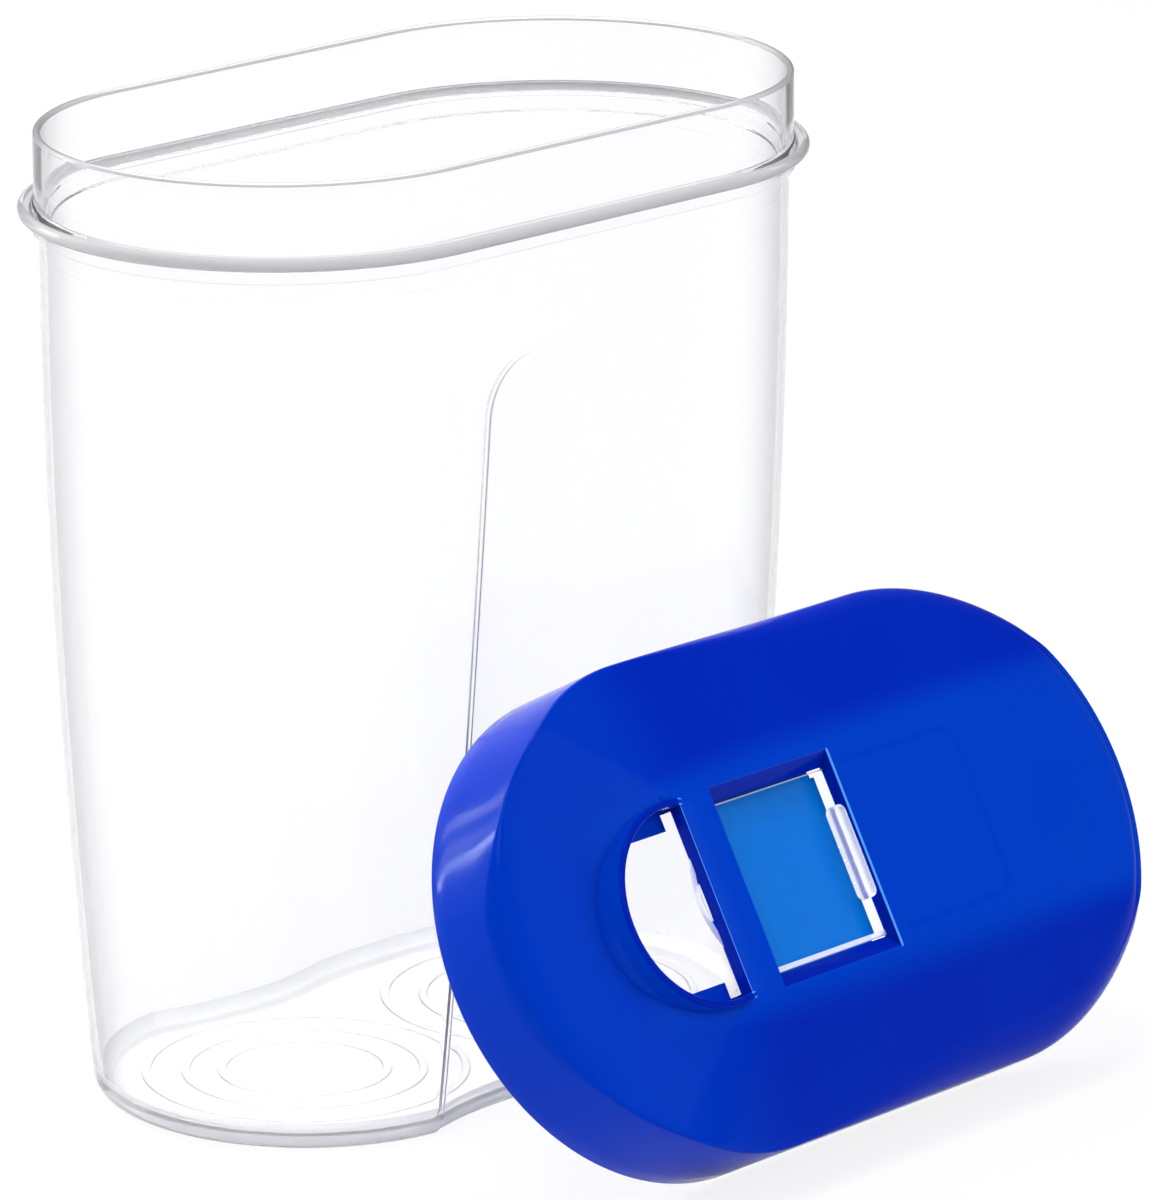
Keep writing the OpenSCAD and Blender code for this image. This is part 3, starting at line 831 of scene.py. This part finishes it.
class MakeContainer(bpy.types.Operator):
    """Make the clear container as one smooth skin, and the rings on its floor"""

    bl_idname = "pantry.make_container"
    bl_label = "Container"

    # How hazy each finish is, and so how little light it lets through; the strong haze of the
    # crease and foot finishes paints grey shade there.
    HAZE, CREASE_HAZE, FOOT_HAZE = 0.03, 0.45, 0.25

    def execute(self, context):
        scene = context.scene
        form = ContainerForm(scene.container_sizes)
        finish = scene.finishes
        body = skin("container_body", form.rings())
        smooth(body, 40)
        materials = (
            clear_plastic(finish, "clear_plastic", finish.clear, self.HAZE),
            clear_plastic(finish, "clear_crease", finish.clear_crease, self.CREASE_HAZE),
            clear_plastic(finish, "clear_foot", finish.clear, self.FOOT_HAZE),
        )
        paint(body, materials, Matrix(), form.finish_at)
        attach(body, "container")
        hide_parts("container")

        s = scene.container_sizes
        rings = new_piece("floor_rings", [(0, 0, 0)], [])
        mod = rings.modifiers.new("rings", "NODES")
        mod.node_group = ring_tree(materials[0])
        # The beads are flat and just touch the floor; the outer one lies inside its pad's edge.
        values = {
            "Inner radius": s.ring_r,
            "Middle radius": s.ring2_r,
            "Outer radius": s.pad_r - 1.2 * MM,
            "Bead width": 1.1 * MM,
            "Bead height": s.pad_h * 0.2,
            "Pad distance": s.pad_r + 0.4 * MM,
            "Floor height": s.floor_t + s.pad_h * 0.18,
        }
        for item in mod.node_group.interface.items_tree:
            if item.in_out == "INPUT":
                mod[item.identifier] = values[item.name]
        plain(rings)
        outward(rings)
        smooth(rings, 60)
        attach(rings, "container")
        return {"FINISHED"}


# ---------------------------------------------------------------- lid

Spot = namedtuple("Spot", "x y nx ny radius centre turn top")


class LidForm:
    """Shape of the lid in its own frame, in millimetres, and the slider's place in it."""

    # Finishes of the faces, in the order of their materials; the thin, thick and edge finishes
    # paint light, shade and highlights.
    PLAIN, THIN, THICK, EDGE = range(4)
    # Points along a side of the skirt, and on the wide and the narrow part of an end.
    SIDE, MANY, FEW = 36, 26, 14
    # Rings on the skirt, round the upper edge and over the slopes.
    SKIRT, ROUND, SLOPES = 4, 14, 12
    # Sizes of the rings that close the flat top.
    CLOSING = (0.93, 0.8)
    # Softness of the crease at the pour end, and of the others.
    FRONT_SOFT, SOFT = 2.6, 0.8
    # Inset and height of the rim's rings, outside and inside.
    RIM_OUT = ((0.75, 0.0), (0.21, 0.02), (0.0875, 0.1), (0.06, 0.2), (0, 0.4))
    RIM_IN = ((-0.2, 0.0), (0, 0.3))
    # How far the rails run on past the slider's tail, and past the bar into the spout.
    LAP = 4

    def __init__(self, container, sizes, slider):
        c, s = Millimetres(container), Millimetres(sizes)
        p = self.slider = Millimetres(slider)
        self.s = s
        neck_a, neck_b = c.neck_l / 2, c.neck_w / 2
        self.a, self.b = neck_a + s.fit + s.wall, neck_b + s.fit + s.wall
        self.run = self.a - self.b
        self.top_half = s.top_w / 2
        self.top_front, self.top_back = self.a - s.pour_run, self.a - s.far_run
        self.top_mid = (self.top_back - self.top_front) / 2
        self.steep, self.gentle = math.tan(s.slope), math.tan(s.far_slope)
        self.seal_b = neck_b - c.wall - s.seal_fit
        self.seal_z = c.neck_h - s.seal_in
        self.spout_x = self.a - s.spout_in
        self.frame_z = s.height - s.bar_t
        self.slider_top = self.frame_z - p.fit
        self.slider_z = self.slider_top - p.thick
        self.shelf_z = self.slider_z - p.fit
        self.rail_z = self.shelf_z - s.rail_t
        self.channel = p.width / 2 + p.fit
        self.bar_x = -self.spout_x + s.spout_cut
        self.window_x = self.bar_x + s.bar_w
        self.window_end = self.window_x + s.window_l
        self.front_r = s.spout_r - p.fit - 0.2
        self.tail_x = p.long - self.front_r
        self.slider_x = -self.spout_x + p.travel
        self.rail_end = -self.spout_x + p.travel + self.tail_x + self.LAP

    def placed(self):
        """Matrix, in metres, that leans the lid against the container's side."""
        s = self.s
        form = ContainerForm(bpy.context.scene.container_sizes)
        top = 2 * self.b * math.cos(s.lean)
        a, b = form.half_length(top), form.half_width(top)
        reach = (a - b) * math.sin(s.turn) + b + s.rest_gap
        along = s.aside * math.sin(s.turn) - self.b * math.sin(s.lean) - reach
        matrix = (
            Matrix.Translation((s.aside, along / math.cos(s.turn), self.b * math.cos(s.lean)))
            @ Matrix.Rotation(s.turn, 4, "Z")
            @ Matrix.Rotation(math.pi / 2 - s.lean, 4, "X")
        )
        matrix.translation *= MM
        return matrix

    def roof(self, x, y):
        """Height of the top over a point: the least of the flat top and three slopes."""
        h = self.s.height
        side = h - self.steep * (abs(y) - self.top_half)
        front = h - self.steep * (-x - self.top_front)
        back = h - self.gentle * (x - self.top_back)
        low = soft_min(soft_min(h, side, self.SOFT), front, self.FRONT_SOFT)
        return soft_min(low, back, self.SOFT)

    def ridge(self, v, m, b):
        """Direction, in degrees, in which the ridge from the flat top's corner meets the skirt."""
        h = self.top_half
        p, q = v + h * m, v * v + h * h - b * b
        t = (-p + math.sqrt(p * p - (1 + m * m) * q)) / (1 + m * m)
        return math.degrees(math.atan2(h + m * t, v + t))

    def ends(self):
        """Run and slope ratio of the ridges at the pour end and at the far end."""
        return (
            (self.top_front - self.run, 1.0),
            (self.top_back - self.run, self.gentle / self.steep),
        )

    def stations(self, b):
        """Points round the skirt, each (share of the straight run, direction in degrees)."""
        (v1, m1), (v2, m2) = self.ends()

        def half_arc(ridge, n1, n2):
            upper = [mix(90, ridge, i / n1) for i in range(n1 + 1)]
            return upper + [mix(ridge, 0, i / n2) for i in range(1, n2 + 1)]

        pour = half_arc(self.ridge(v1, m1, b), self.FEW, self.MANY)
        back = half_arc(self.ridge(v2, m2, b), self.MANY, self.FEW)
        run = [1 - 2 * i / self.SIDE for i in range(1, self.SIDE)]
        return (
            [(1.0, -t) for t in back]
            + [(1.0, t) for t in back[-2::-1]]
            + [(share, 90) for share in run]
            + [(-1.0, 180 - t) for t in pour]
            + [(-1.0, 180 + t) for t in pour[-2::-1]]
            + [(-share, -90) for share in run]
        )

    def edge_radius(self, share, t):
        """Radius of the upper edge, from the pour tip over the crease to the far end."""
        s = self.s
        if share == 1:
            return s.far_r
        if share == -1:
            return mix(s.tip_r, s.crease_r, ease((abs(180 - abs(t)) - 8) / 30))
        return mix(s.crease_r, s.far_r, ease((share + 1) / 1.7))

    def top_point(self, share, t, b):
        """Point on the flat top's outline towards which a station's slope rises."""
        h = self.top_half
        side = -1 if math.sin(math.radians(t)) < 0 else 1
        if abs(share) < 1:
            return (share * self.run, side * h)
        v, m = self.ends()[1 if share > 0 else 0]
        ridge = self.ridge(v, m, b)
        turn = abs(t) if share > 0 else abs(180 - abs(t))
        if turn > ridge:
            return (share * (self.run + v * (90 - turn) / (90 - ridge)), side * h)
        return (share * (self.run + v), side * h * compass(turn)[1] / compass(ridge)[1])

    def edge_spots(self, d):
        """Where and how the upper edge is rounded at each station, d inside the lid."""
        b = self.b - d
        spots = []
        for share, t in self.stations(b):
            nx, ny = compass(t)
            x, y = share * self.run + b * nx, b * ny
            r = max(self.edge_radius(share, t) - d, 0.4)
            h = self.roof(x, y) - d
            grade = (self.roof(x - r * nx, y - r * ny) - d - h) / r
            centre = h - r * (math.sqrt(1 + grade * grade) - grade)
            turn = 90 - math.degrees(math.atan(grade))
            spots.append(Spot(x, y, nx, ny, r, centre, turn, self.top_point(share, t, b)))
        return spots

    def skin(self, d):
        """Rings of the outer (d = 0) or inner skin, from the rim up to the flat top."""
        spots = self.edge_spots(d)

        def on_edge(spot, t):
            c, s = compass(t)
            inset, z = spot.radius * (1 - c), spot.centre + spot.radius * s
            return (spot.x - spot.nx * inset, spot.y - spot.ny * inset, z)

        def on_slope(spot, share):
            x, y, _ = on_edge(spot, spot.turn)
            x, y = mix(x, spot.top[0], share), mix(y, spot.top[1], share)
            return (x, y, self.roof(x, y) - d)

        rings = [
            [(p.x - p.nx * inset, p.y - p.ny * inset, z) for p in spots]
            for inset, z in (self.RIM_IN if d else self.RIM_OUT)
        ]
        for k in range(1, self.SKIRT):
            rings.append([(p.x, p.y, p.centre * k / self.SKIRT) for p in spots])
        for k in range(self.ROUND + 1):
            rings.append([on_edge(p, p.turn * k / self.ROUND) for p in spots])
        for k in range(1, self.SLOPES + 1):
            rings.append([on_slope(p, k / self.SLOPES) for p in spots])
        for k in self.CLOSING:
            z = self.s.height - d
            rings.append([(mix(self.top_mid, p.top[0], k), p.top[1] * k, z) for p in spots])
        return rings

    def shell(self):
        """Outer and inner skin, joined round the rim."""
        inside, outside = self.skin(self.s.wall), self.skin(0)
        return skin("lid_shell", inside[::-1] + outside)

    def seal(self):
        """Wall that hangs from the roof and fits inside the neck."""
        sections = []
        for share, turn in self.stations(self.b):
            c, s = compass(turn)
            outer, inner = (
                (share * self.run + b * c, b * s)
                for b in (self.seal_b, self.seal_b - self.s.seal_t)
            )
            roots = [(x, y, self.roof(x, y) - self.s.wall / 2) for x, y in (inner, outer)]
            sections.append([(*outer, self.seal_z), (*inner, self.seal_z), *roots])
        return hoop("seal", sections)

    def rails(self):
        """Window frame, webs and lips that carry the slider; the opening trims their ends.

        Overlaps of a hundredth or two keep any two faces from lying in one plane.
        """
        s, start = self.s, self.bar_x - self.LAP
        half, top = self.channel, s.height - s.wall / 2
        wide = half + s.window_flare + 1.2
        frame_block = box((start, -wide, self.frame_z), (self.window_end + 2, wide, top))
        webs = []
        for side in (-1, 1):
            mid = side * (half + s.rail_web / 2)
            low, high = mid - s.rail_web / 2, mid + s.rail_web / 2
            webs.append(box((start, low, self.rail_z), (self.rail_end, high, top - 0.01)))
        lap = half + 0.02
        floor = box((start, -lap, self.rail_z), (self.rail_end, lap, self.shelf_z))
        slot_end = self.window_end - s.slot_back + s.slot_w
        lips = half - s.rail_lip
        gap = box((slot_end, -lips, 0), (self.rail_end + 1, lips, s.height))
        combine(floor, [gap], "DIFFERENCE")
        return [frame_block, *webs, floor]

    def collar(self):
        """Raised wall round the pour opening; it runs a little way into the bar."""
        s = self.s
        r, out, h = s.spout_r, s.spout_r + s.collar_t, s.height
        low, flank = self.rail_z - 1.8, out + s.collar_flare
        middle = (low + h) / 2
        profile = rounded(
            [
                (r, middle, 0),
                (r, h, 0.45),
                (out, h, 0.6),
                (out + 0.2, h - 4.5, 3),
                (flank, h - 8.0, 0.3),
                (flank, low, 0.1),
                (r, low, 0.2),
                (r, middle - 0.5, 0),
            ],
            5,
        )
        turns = [compass(360 * k / 144) for k in range(144)]
        sections = [[(q * c - self.spout_x, q * s, z) for q, z in profile] for c, s in turns]
        ob = hoop("collar", sections)
        cut = box((self.bar_x + 1, -self.b, -1), (self.a, self.b, 2 * h))
        combine(ob, [cut], "DIFFERENCE")
        return ob

    def ledges(self):
        """Two straight ledges across the spout, in line with the rails' lips."""
        r, y0 = self.s.spout_r + self.s.collar_t / 2, self.channel - self.s.rail_lip
        x1 = self.bar_x + 1
        start, end = math.pi - math.asin(y0 / r), math.acos((x1 + self.spout_x) / r)
        out = []
        for side in (-1, 1):
            line = [(x1, side * y0)]
            for i in range(25):
                t = mix(start, end, i / 24)
                line.append((-self.spout_x + r * math.cos(t), side * r * math.sin(t)))
            levels = (self.rail_z, self.shelf_z)
            out.append(loops("ledge", [[(x, y, z) for x, y in line] for z in levels]))
        return out

    def opening(self):
        """Cutter for the pour opening in the shell, with a chamfer along the bar."""
        s = self.s
        r, e = s.spout_r + s.collar_t / 2, s.edge

        def outline(z, more):
            t = math.acos(max(-1, min(1, (self.bar_x + more + self.spout_x) / r)))
            turns = [mix(t, 2 * math.pi - t, i / 96) for i in range(97)]
            return [(-self.spout_x + r * math.cos(u), r * math.sin(u), z) for u in turns]

        levels = ((-1, 0), (s.height - e, 0), (s.height + 1, e + 1))
        return loops("opening", [outline(z, more) for z, more in levels])

    def window(self):
        """Cutter for the window, which widens upwards, with a chamfer round its top."""
        s, e = self.s, self.s.edge

        def outline(z, more):
            y = self.channel + (z - self.frame_z) / s.bar_t * s.window_flare + more
            x0, x1 = self.window_x - more, self.window_end + more
            return [(x0, -y, z), (x1, -y, z), (x1, y, z), (x0, y, z)]

        levels = ((self.frame_z - 0.5, 0), (s.height - e, 0), (s.height + 1, e + 1))
        return loops("window", [outline(z, more) for z, more in levels])

    def cuts(self):
        """Cutters for the slider's channel, the window and the slot with its wider ends."""
        s, c, top = self.s, self.channel, self.frame_z
        slot = self.window_end - s.slot_back
        under_bar = box((self.bar_x - 1.3, -c - 1.3, 0), (self.bar_x + 3.4, c + 1.3, top))
        channel = box((-self.spout_x, -c, self.shelf_z), (self.rail_end + 1, c, top))
        out = [under_bar, channel, self.window()]
        out.append(box((slot, -c, 0), (slot + s.slot_w, c, top)))
        for side in (-1, 1):
            y = side * (c - 0.4)
            out.append(box((slot - s.slot_notch, y - 1, 0), (slot + s.slot_w, y + 1, top)))
        return out

    def finish_at(self, spot, normal):
        """Thin window floor painted lighter as if lit from behind, thick walls in painted shade,
        and edges with a painted highlight.
        """
        s, (x, y, z), e, near = self.s, spot, self.s.edge, 0.1
        c, flare, slope = self.channel, self.s.window_flare, abs(normal.z)
        # Painted light on the window's thin floor.
        if self.window_x < x < self.window_end and abs(y) < c and z < self.shelf_z + near:
            return self.THIN
        # Painted highlight on the chamfered upper edges at the bar and the window's end.
        if z > s.height - e - 0.05 and 0.3 < normal.z < 0.95 and abs(y) < c + flare:
            for start in (self.bar_x, self.window_end):
                if start - near < x < start + e + near:
                    return self.EDGE
        # Painted shade on the window's side walls and on the bar's and the window's end walls.
        if z > self.frame_z - near and slope < 0.8:
            beside = c - near < abs(y) < c + flare + e + near
            if beside and self.window_x - 0.5 < x < self.window_end + 0.5:
                return self.THICK
            if abs(x - self.bar_x) < near or abs(x - self.window_end) < 0.5:
                return self.THICK
        # Painted shade on the top of the collar round the spout.
        ring = math.hypot(x + self.spout_x, y)
        on_collar = s.spout_r - 0.2 < ring < s.spout_r + s.collar_t + near
        if x < self.bar_x and on_collar and z > s.height - 1.2:
            return self.THICK
        return self.PLAIN


class MakeLid(bpy.types.Operator):
    """Make the blue lid: shell, seal wall, collared spout, window and rails in one mesh"""

    bl_idname = "pantry.make_lid"
    bl_label = "Lid"

    # How much light passes the lid besides what it scatters.
    CLEAR = 0.03

    def execute(self, context):
        scene = context.scene
        form = LidForm(scene.container_sizes, scene.lid_sizes, scene.slider_sizes)
        lid = form.shell()
        combine(lid, [form.seal(), *form.rails()], "UNION")
        combine(lid, [form.opening()], "DIFFERENCE")
        combine(lid, [form.collar(), *form.ledges()], "UNION")
        combine(lid, form.cuts(), "DIFFERENCE")
        cleaned(lid)
        matrix = form.placed()
        lid.data.transform(matrix)
        lid.name = lid.data.name = "lid_body"
        smooth(lid, 32)
        finish = scene.finishes
        # The thin, thick and edge materials carry painted light, shade and highlights, and the
        # main blue carries painted light.
        materials = (
            blue_plastic("blue_plastic", finish.blue, finish.blue_light, self.CLEAR, form),
            blue_plastic("blue_thin", finish.blue_thin, finish.blue_thin, self.CLEAR),
            blue_plastic("blue_thick", finish.blue_thick, finish.blue, 0.0),
            blue_plastic("blue_edge", finish.blue_edge, finish.blue_edge, 0.0),
        )
        paint(lid, materials, matrix, form.finish_at)
        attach(lid, "lid")
        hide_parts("lid")
        return {"FINISHED"}


# ---------------------------------------------------------------- slider


class SliderForm:
    """Shape of the slider in millimetres, with the middle of its round front at x = 0."""

    # Finishes of the faces, in the order of their materials; the rim's finish is a painted
    # highlight.
    PLATE, RIM, TAB = range(3)
    # How far the milky rim, a painted highlight, reaches in over the plate's rounded edge.
    RIM_IN = 0.5

    def __init__(self, lid):
        self.lid, self.s = lid, lid.slider

    def outline(self):
        """Plan of the plate: round front, square sides and rounded tail corners."""
        s, r = self.s, self.lid.front_r
        half = s.width / 2
        start = math.asin(half / r)
        turns = [mix(-start, start, i / 64) for i in range(65)]
        points = [(-r * math.cos(t), -r * math.sin(t)) for t in turns]
        for sign, low, high in ((-1, -90, 0), (1, 0, 90)):
            x0, y0 = self.lid.tail_x - s.tail_r, sign * (half - s.tail_r)
            for i in range(13):
                c, q = compass(mix(low, high, i / 12))
                points.append((x0 + s.tail_r * c, y0 + s.tail_r * q))
        return points

    def plate(self):
        """Plate with its edges rounded all the way round, above and below."""
        e, bottom, top = self.s.edge_r, self.lid.slider_z, self.lid.slider_top
        turns = [compass(t) for t in range(0, 91, 15)]
        lower = [(e * (1 - s), bottom + e * (1 - c)) for c, s in turns]
        upper = [(inset, bottom + top - z) for inset, z in reversed(lower)]
        points = self.outline()
        n = len(points)

        def ring(inset, z):
            out = []
            for i, (x, y) in enumerate(points):
                along = (Vector(points[(i + 1) % n]) - Vector(points[i - 1])).normalized()
                out.append((x - along.y * inset, y + along.x * inset, z))
            return out

        profile = [*lower, *upper, (e + self.RIM_IN, top)]
        return loops("plate", [ring(inset, z) for inset, z in profile])

    def tab(self):
        """Finger tab: an upright pill with a rounded rim and a hollow top."""
        s, lid = self.s, self.lid
        x0 = lid.window_end - s.fit - s.tab_w / 2 - lid.slider_x
        run, h = (s.tab_l - s.tab_w) / 2, s.tab_h

        def pill(grow, z):
            r, points = s.tab_w / 2 + grow, []
            for side, start in ((1, 0), (-1, 180)):
                for i in range(17):
                    c, q = compass(start + 180 * i / 16)
                    points.append((x0 + r * c, side * run + r * q, lid.slider_top + z))
            return points

        turns = [compass(t) for t in (30, 60, 90)]
        levels = [(0.0, -0.2), (0.0, 0.1), (0.0, h - 0.5)]
        levels += [(-0.4 * (1 - c), h - 0.4 + 0.4 * q) for c, q in turns]
        levels += [(-0.5 - 0.3 * q, h - 0.3 * (1 - c)) for c, q in turns]
        levels += [(-0.85, h - 0.4), (-1.0, h - 0.5)]
        return loops("tab", [pill(grow, z) for grow, z in levels])

    def finish_at(self, spot, normal):
        """The tab, the rounded rim with one long edge's strip as a painted highlight, or the clear
        plate.
        """
        if spot.z > self.lid.slider_top + 0.02:
            return self.TAB
        low_edge = 0 < spot.y + self.s.width / 2 < self.s.edge_r + self.RIM_IN
        return self.RIM if abs(normal.z) < 0.9 or low_edge else self.PLATE


class MakeSlider(bpy.types.Operator):
    """Make the clear slider with its finger tab"""

    bl_idname = "pantry.make_slider"
    bl_label = "Slider"

    def execute(self, context):
        scene = context.scene
        lid = LidForm(scene.container_sizes, scene.lid_sizes, scene.slider_sizes)
        form = SliderForm(lid)
        slider = form.plate()
        combine(slider, [form.tab()], "UNION")
        slider.data.transform(Matrix.Translation((lid.slider_x * MM, 0, 0)))
        matrix = lid.placed()
        slider.data.transform(matrix)
        slider.name = slider.data.name = "slider_plate"
        smooth(slider, 40)
        tint = scene.finishes.milky
        materials = (
            milky_plastic("slider_clear", tint, 1.0, 0.03),
            # Painted highlight: the milky rim and the strip along one long edge.
            milky_plastic("slider_edge", tint, 0.35, 0.2),
            milky_plastic("slider_tab", tint, 0.62, 0.22),
        )
        paint(slider, materials, matrix, form.finish_at)
        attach(slider, "slider")
        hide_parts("slider")
        return {"FINISHED"}


# ---------------------------------------------------------------- stage

# Name, place, size, watts, and whether it shows in gloss.
LAMPS = (
    ("key", (-1.1, -0.35, 1.5), (0.9, 0.9), 16, True),
    ("overhead", (-0.1, -0.05, 2.0), (0.28, 0.28), 8, True),
    ("back", (0.1, 1.6, 1.2), (1.2, 0.8), 12, True),
    ("strip", (-0.75, 1.75, 0.55), (0.16, 0.8), 14, True),
    ("strip_high", (-0.35, 1.9, 0.75), (0.1, 0.7), 9, True),
    ("fill", (1.0, -1.8, 1.3), (1.0, 1.0), 22, False),
)
LAMPS_AIM = Vector((0.02, -0.05, 0.09))
# Half the floor's width and how far it lies under the object, in millimetres.
FLOOR_HALF, FLOOR_DROP = 9000, 0.3
FLOOR_LIGHTER = (0.92, 0.92, 0.92)
# How far the floor is lifted to white: for the camera and glass, and for gloss.
FLOOR_WHITE, FLOOR_GLOSS = 0.85, 0.22
# The bright patch at the back that the lid mirrors, and the world's strengths.
PATCH = (-0.35, 0.92, 0.18)
GLOSS_STRENGTH, LIGHT_STRENGTH = 2.2, 0.45
LIGHT_TINT = (0.95, 0.96, 1.0, 1)
# The camera was fitted to the photograph: its place, its aim, and a small turn to centre it.
CAMERA_AT, CAMERA_AIM = (-1.2907, -1.3373, 0.6418), (0.6759, 0.6826, -0.2779)
CAMERA_TURN, CAMERA_LENS = -0.3186, 261.1


def seen(tree, path):
    """1 for what the camera sees, directly or through glass."""
    rays = (path.outputs["Is Camera Ray"], path.outputs["Is Transmission Ray"])
    return maths(tree, "MAXIMUM", *rays)


def pale_sweep(name, finish):
    """Pale floor: lit and shadowed, but lifted to white for the camera, glass and gloss."""
    material, tree, shader, output = principled(
        name, {"Roughness": 0.6, "Specular IOR Level": 0.2}
    )
    cloud = spread(tree, noise(tree, 3.0), 0.0, 1.0)
    tint = blend_colour(tree, cloud, finish.floor, FLOOR_LIGHTER)
    tree.links.new(tint, shader.inputs["Base Color"])
    path = node(tree, "ShaderNodeLightPath")
    gloss = maths(tree, "MULTIPLY", path.outputs["Is Glossy Ray"], FLOOR_GLOSS)
    white = maths(tree, "MULTIPLY", seen(tree, path), FLOOR_WHITE)
    share = maths(tree, "MAXIMUM", gloss, white)
    join = blend_shader(tree, share, shader, node(tree, "ShaderNodeEmission"))
    tree.links.new(join.outputs[0], output.inputs["Surface"])
    return material


def studio_world():
    """White for the camera and glass, bright patches for gloss, and a plain grey light."""
    world = bpy.data.worlds.new("studio")
    world.use_nodes = True
    tree = world.node_tree
    tree.nodes.clear()
    path = node(tree, "ShaderNodeLightPath")
    way = node(tree, "ShaderNodeTexCoord").outputs["Generated"]
    towards = node(tree, "ShaderNodeVectorMath", {0: way, 1: PATCH}, operation="DOT_PRODUCT")
    back = fade(tree, towards.outputs["Value"], 0.84, 0.98, 0.08, 1.0)
    up = node(tree, "ShaderNodeSeparateXYZ", {"Vector": way}).outputs["Z"]
    patches = maths(tree, "MAXIMUM", back, fade(tree, up, 0.93, 0.99))
    kind = "ShaderNodeBackground"
    white = node(tree, kind, {"Color": (1, 1, 1, 1)})
    gloss = node(tree, kind, {"Color": patches, "Strength": GLOSS_STRENGTH})
    light = node(tree, kind, {"Color": LIGHT_TINT, "Strength": LIGHT_STRENGTH})
    unseen = blend_shader(tree, path.outputs["Is Glossy Ray"], light, gloss)
    join = blend_shader(tree, seen(tree, path), unseen, white)
    node(tree, "ShaderNodeOutputWorld", {"Surface": join.outputs[0]})
    return world


class MakeStage(bpy.types.Operator):
    """Set up the pale floor, the studio light and the camera"""

    bl_idname = "pantry.make_stage"
    bl_label = "Stage"

    def lamp(self, name, place, size, power, shiny):
        """Soft rectangular lamp aimed at the object."""
        data = bpy.data.lights.new(name, "AREA")
        data.shape = "RECTANGLE"
        data.size, data.size_y = size
        data.energy = power
        ob = bpy.data.objects.new(name, data)
        bpy.context.scene.collection.objects.link(ob)
        ob.location = place
        ob.rotation_euler = (LAMPS_AIM - ob.location).to_track_quat("-Z", "Y").to_euler()
        ob.visible_glossy = shiny

    def camera(self):
        """Camera at the photograph's place and angle."""
        data = bpy.data.cameras.new("photo_camera")
        data.lens = CAMERA_LENS
        data.sensor_width = 36
        data.clip_start, data.clip_end = 0.1, 60
        camera = bpy.data.objects.new("photo_camera", data)
        bpy.context.scene.collection.objects.link(camera)
        aim = Vector(CAMERA_AIM).normalized()
        up = aim.cross(Vector((0, 0, 1))).cross(aim).normalized()
        aim = Matrix.Rotation(math.radians(CAMERA_TURN), 3, up) @ aim
        camera.location = CAMERA_AT
        camera.rotation_euler = aim.to_track_quat("-Z", "Y").to_euler()
        return camera

    def execute(self, context):
        scene = context.scene
        corners = ((-1, -1), (1, -1), (1, 1), (-1, 1))
        spots = [(x * FLOOR_HALF, y * FLOOR_HALF, -FLOOR_DROP) for x, y in corners]
        floor = new_piece("floor", spots, [(0, 1, 2, 3)])
        floor.data.materials.append(pale_sweep("pale_floor", scene.finishes))
        for lamp in LAMPS:
            self.lamp(*lamp)
        scene.world = studio_world()
        scene.view_settings.view_transform = "Standard"
        bpy.context.scene.camera = self.camera()
        return {"FINISHED"}


class ContainerPanel(bpy.types.Panel):
    """Sizes and makers of the container, in the sidebar"""

    bl_idname = "VIEW3D_PT_pour_lid_container"
    bl_label = "Pour Lid Container"
    bl_space_type = "VIEW_3D"
    bl_region_type = "UI"
    bl_category = "Container"

    def draw(self, context):
        layout = self.layout
        for operator in MAKERS:
            layout.operator(operator.bl_idname)
        for name in GROUPS:
            group = getattr(context.scene, name)
            column = layout.box().column(align=True)
            column.label(text=name.replace("_", " ").capitalize())
            for prop in group.bl_rna.properties:
                if prop.identifier not in ("rna_type", "name"):
                    column.prop(group, prop.identifier)


GROUPS = {
    "container_sizes": ContainerSizes,
    "lid_sizes": LidSizes,
    "slider_sizes": SliderSizes,
    "finishes": Finishes,
}
MAKERS = (MakeStage, MakeContainer, MakeLid, MakeSlider)


def register():
    for cls in (*GROUPS.values(), *MAKERS, ContainerPanel):
        bpy.utils.register_class(cls)
    for name, cls in GROUPS.items():
        setattr(bpy.types.Scene, name, bpy.props.PointerProperty(type=cls))


def unregister():
    for name in GROUPS:
        delattr(bpy.types.Scene, name)
    for cls in reversed((*GROUPS.values(), *MAKERS, ContainerPanel)):
        bpy.utils.unregister_class(cls)


def main():
    register()
    bpy.ops.pantry.make_stage()
    bpy.ops.pantry.make_container()
    bpy.ops.pantry.make_lid()
    bpy.ops.pantry.make_slider()


if __name__ == "__main__":
    main()
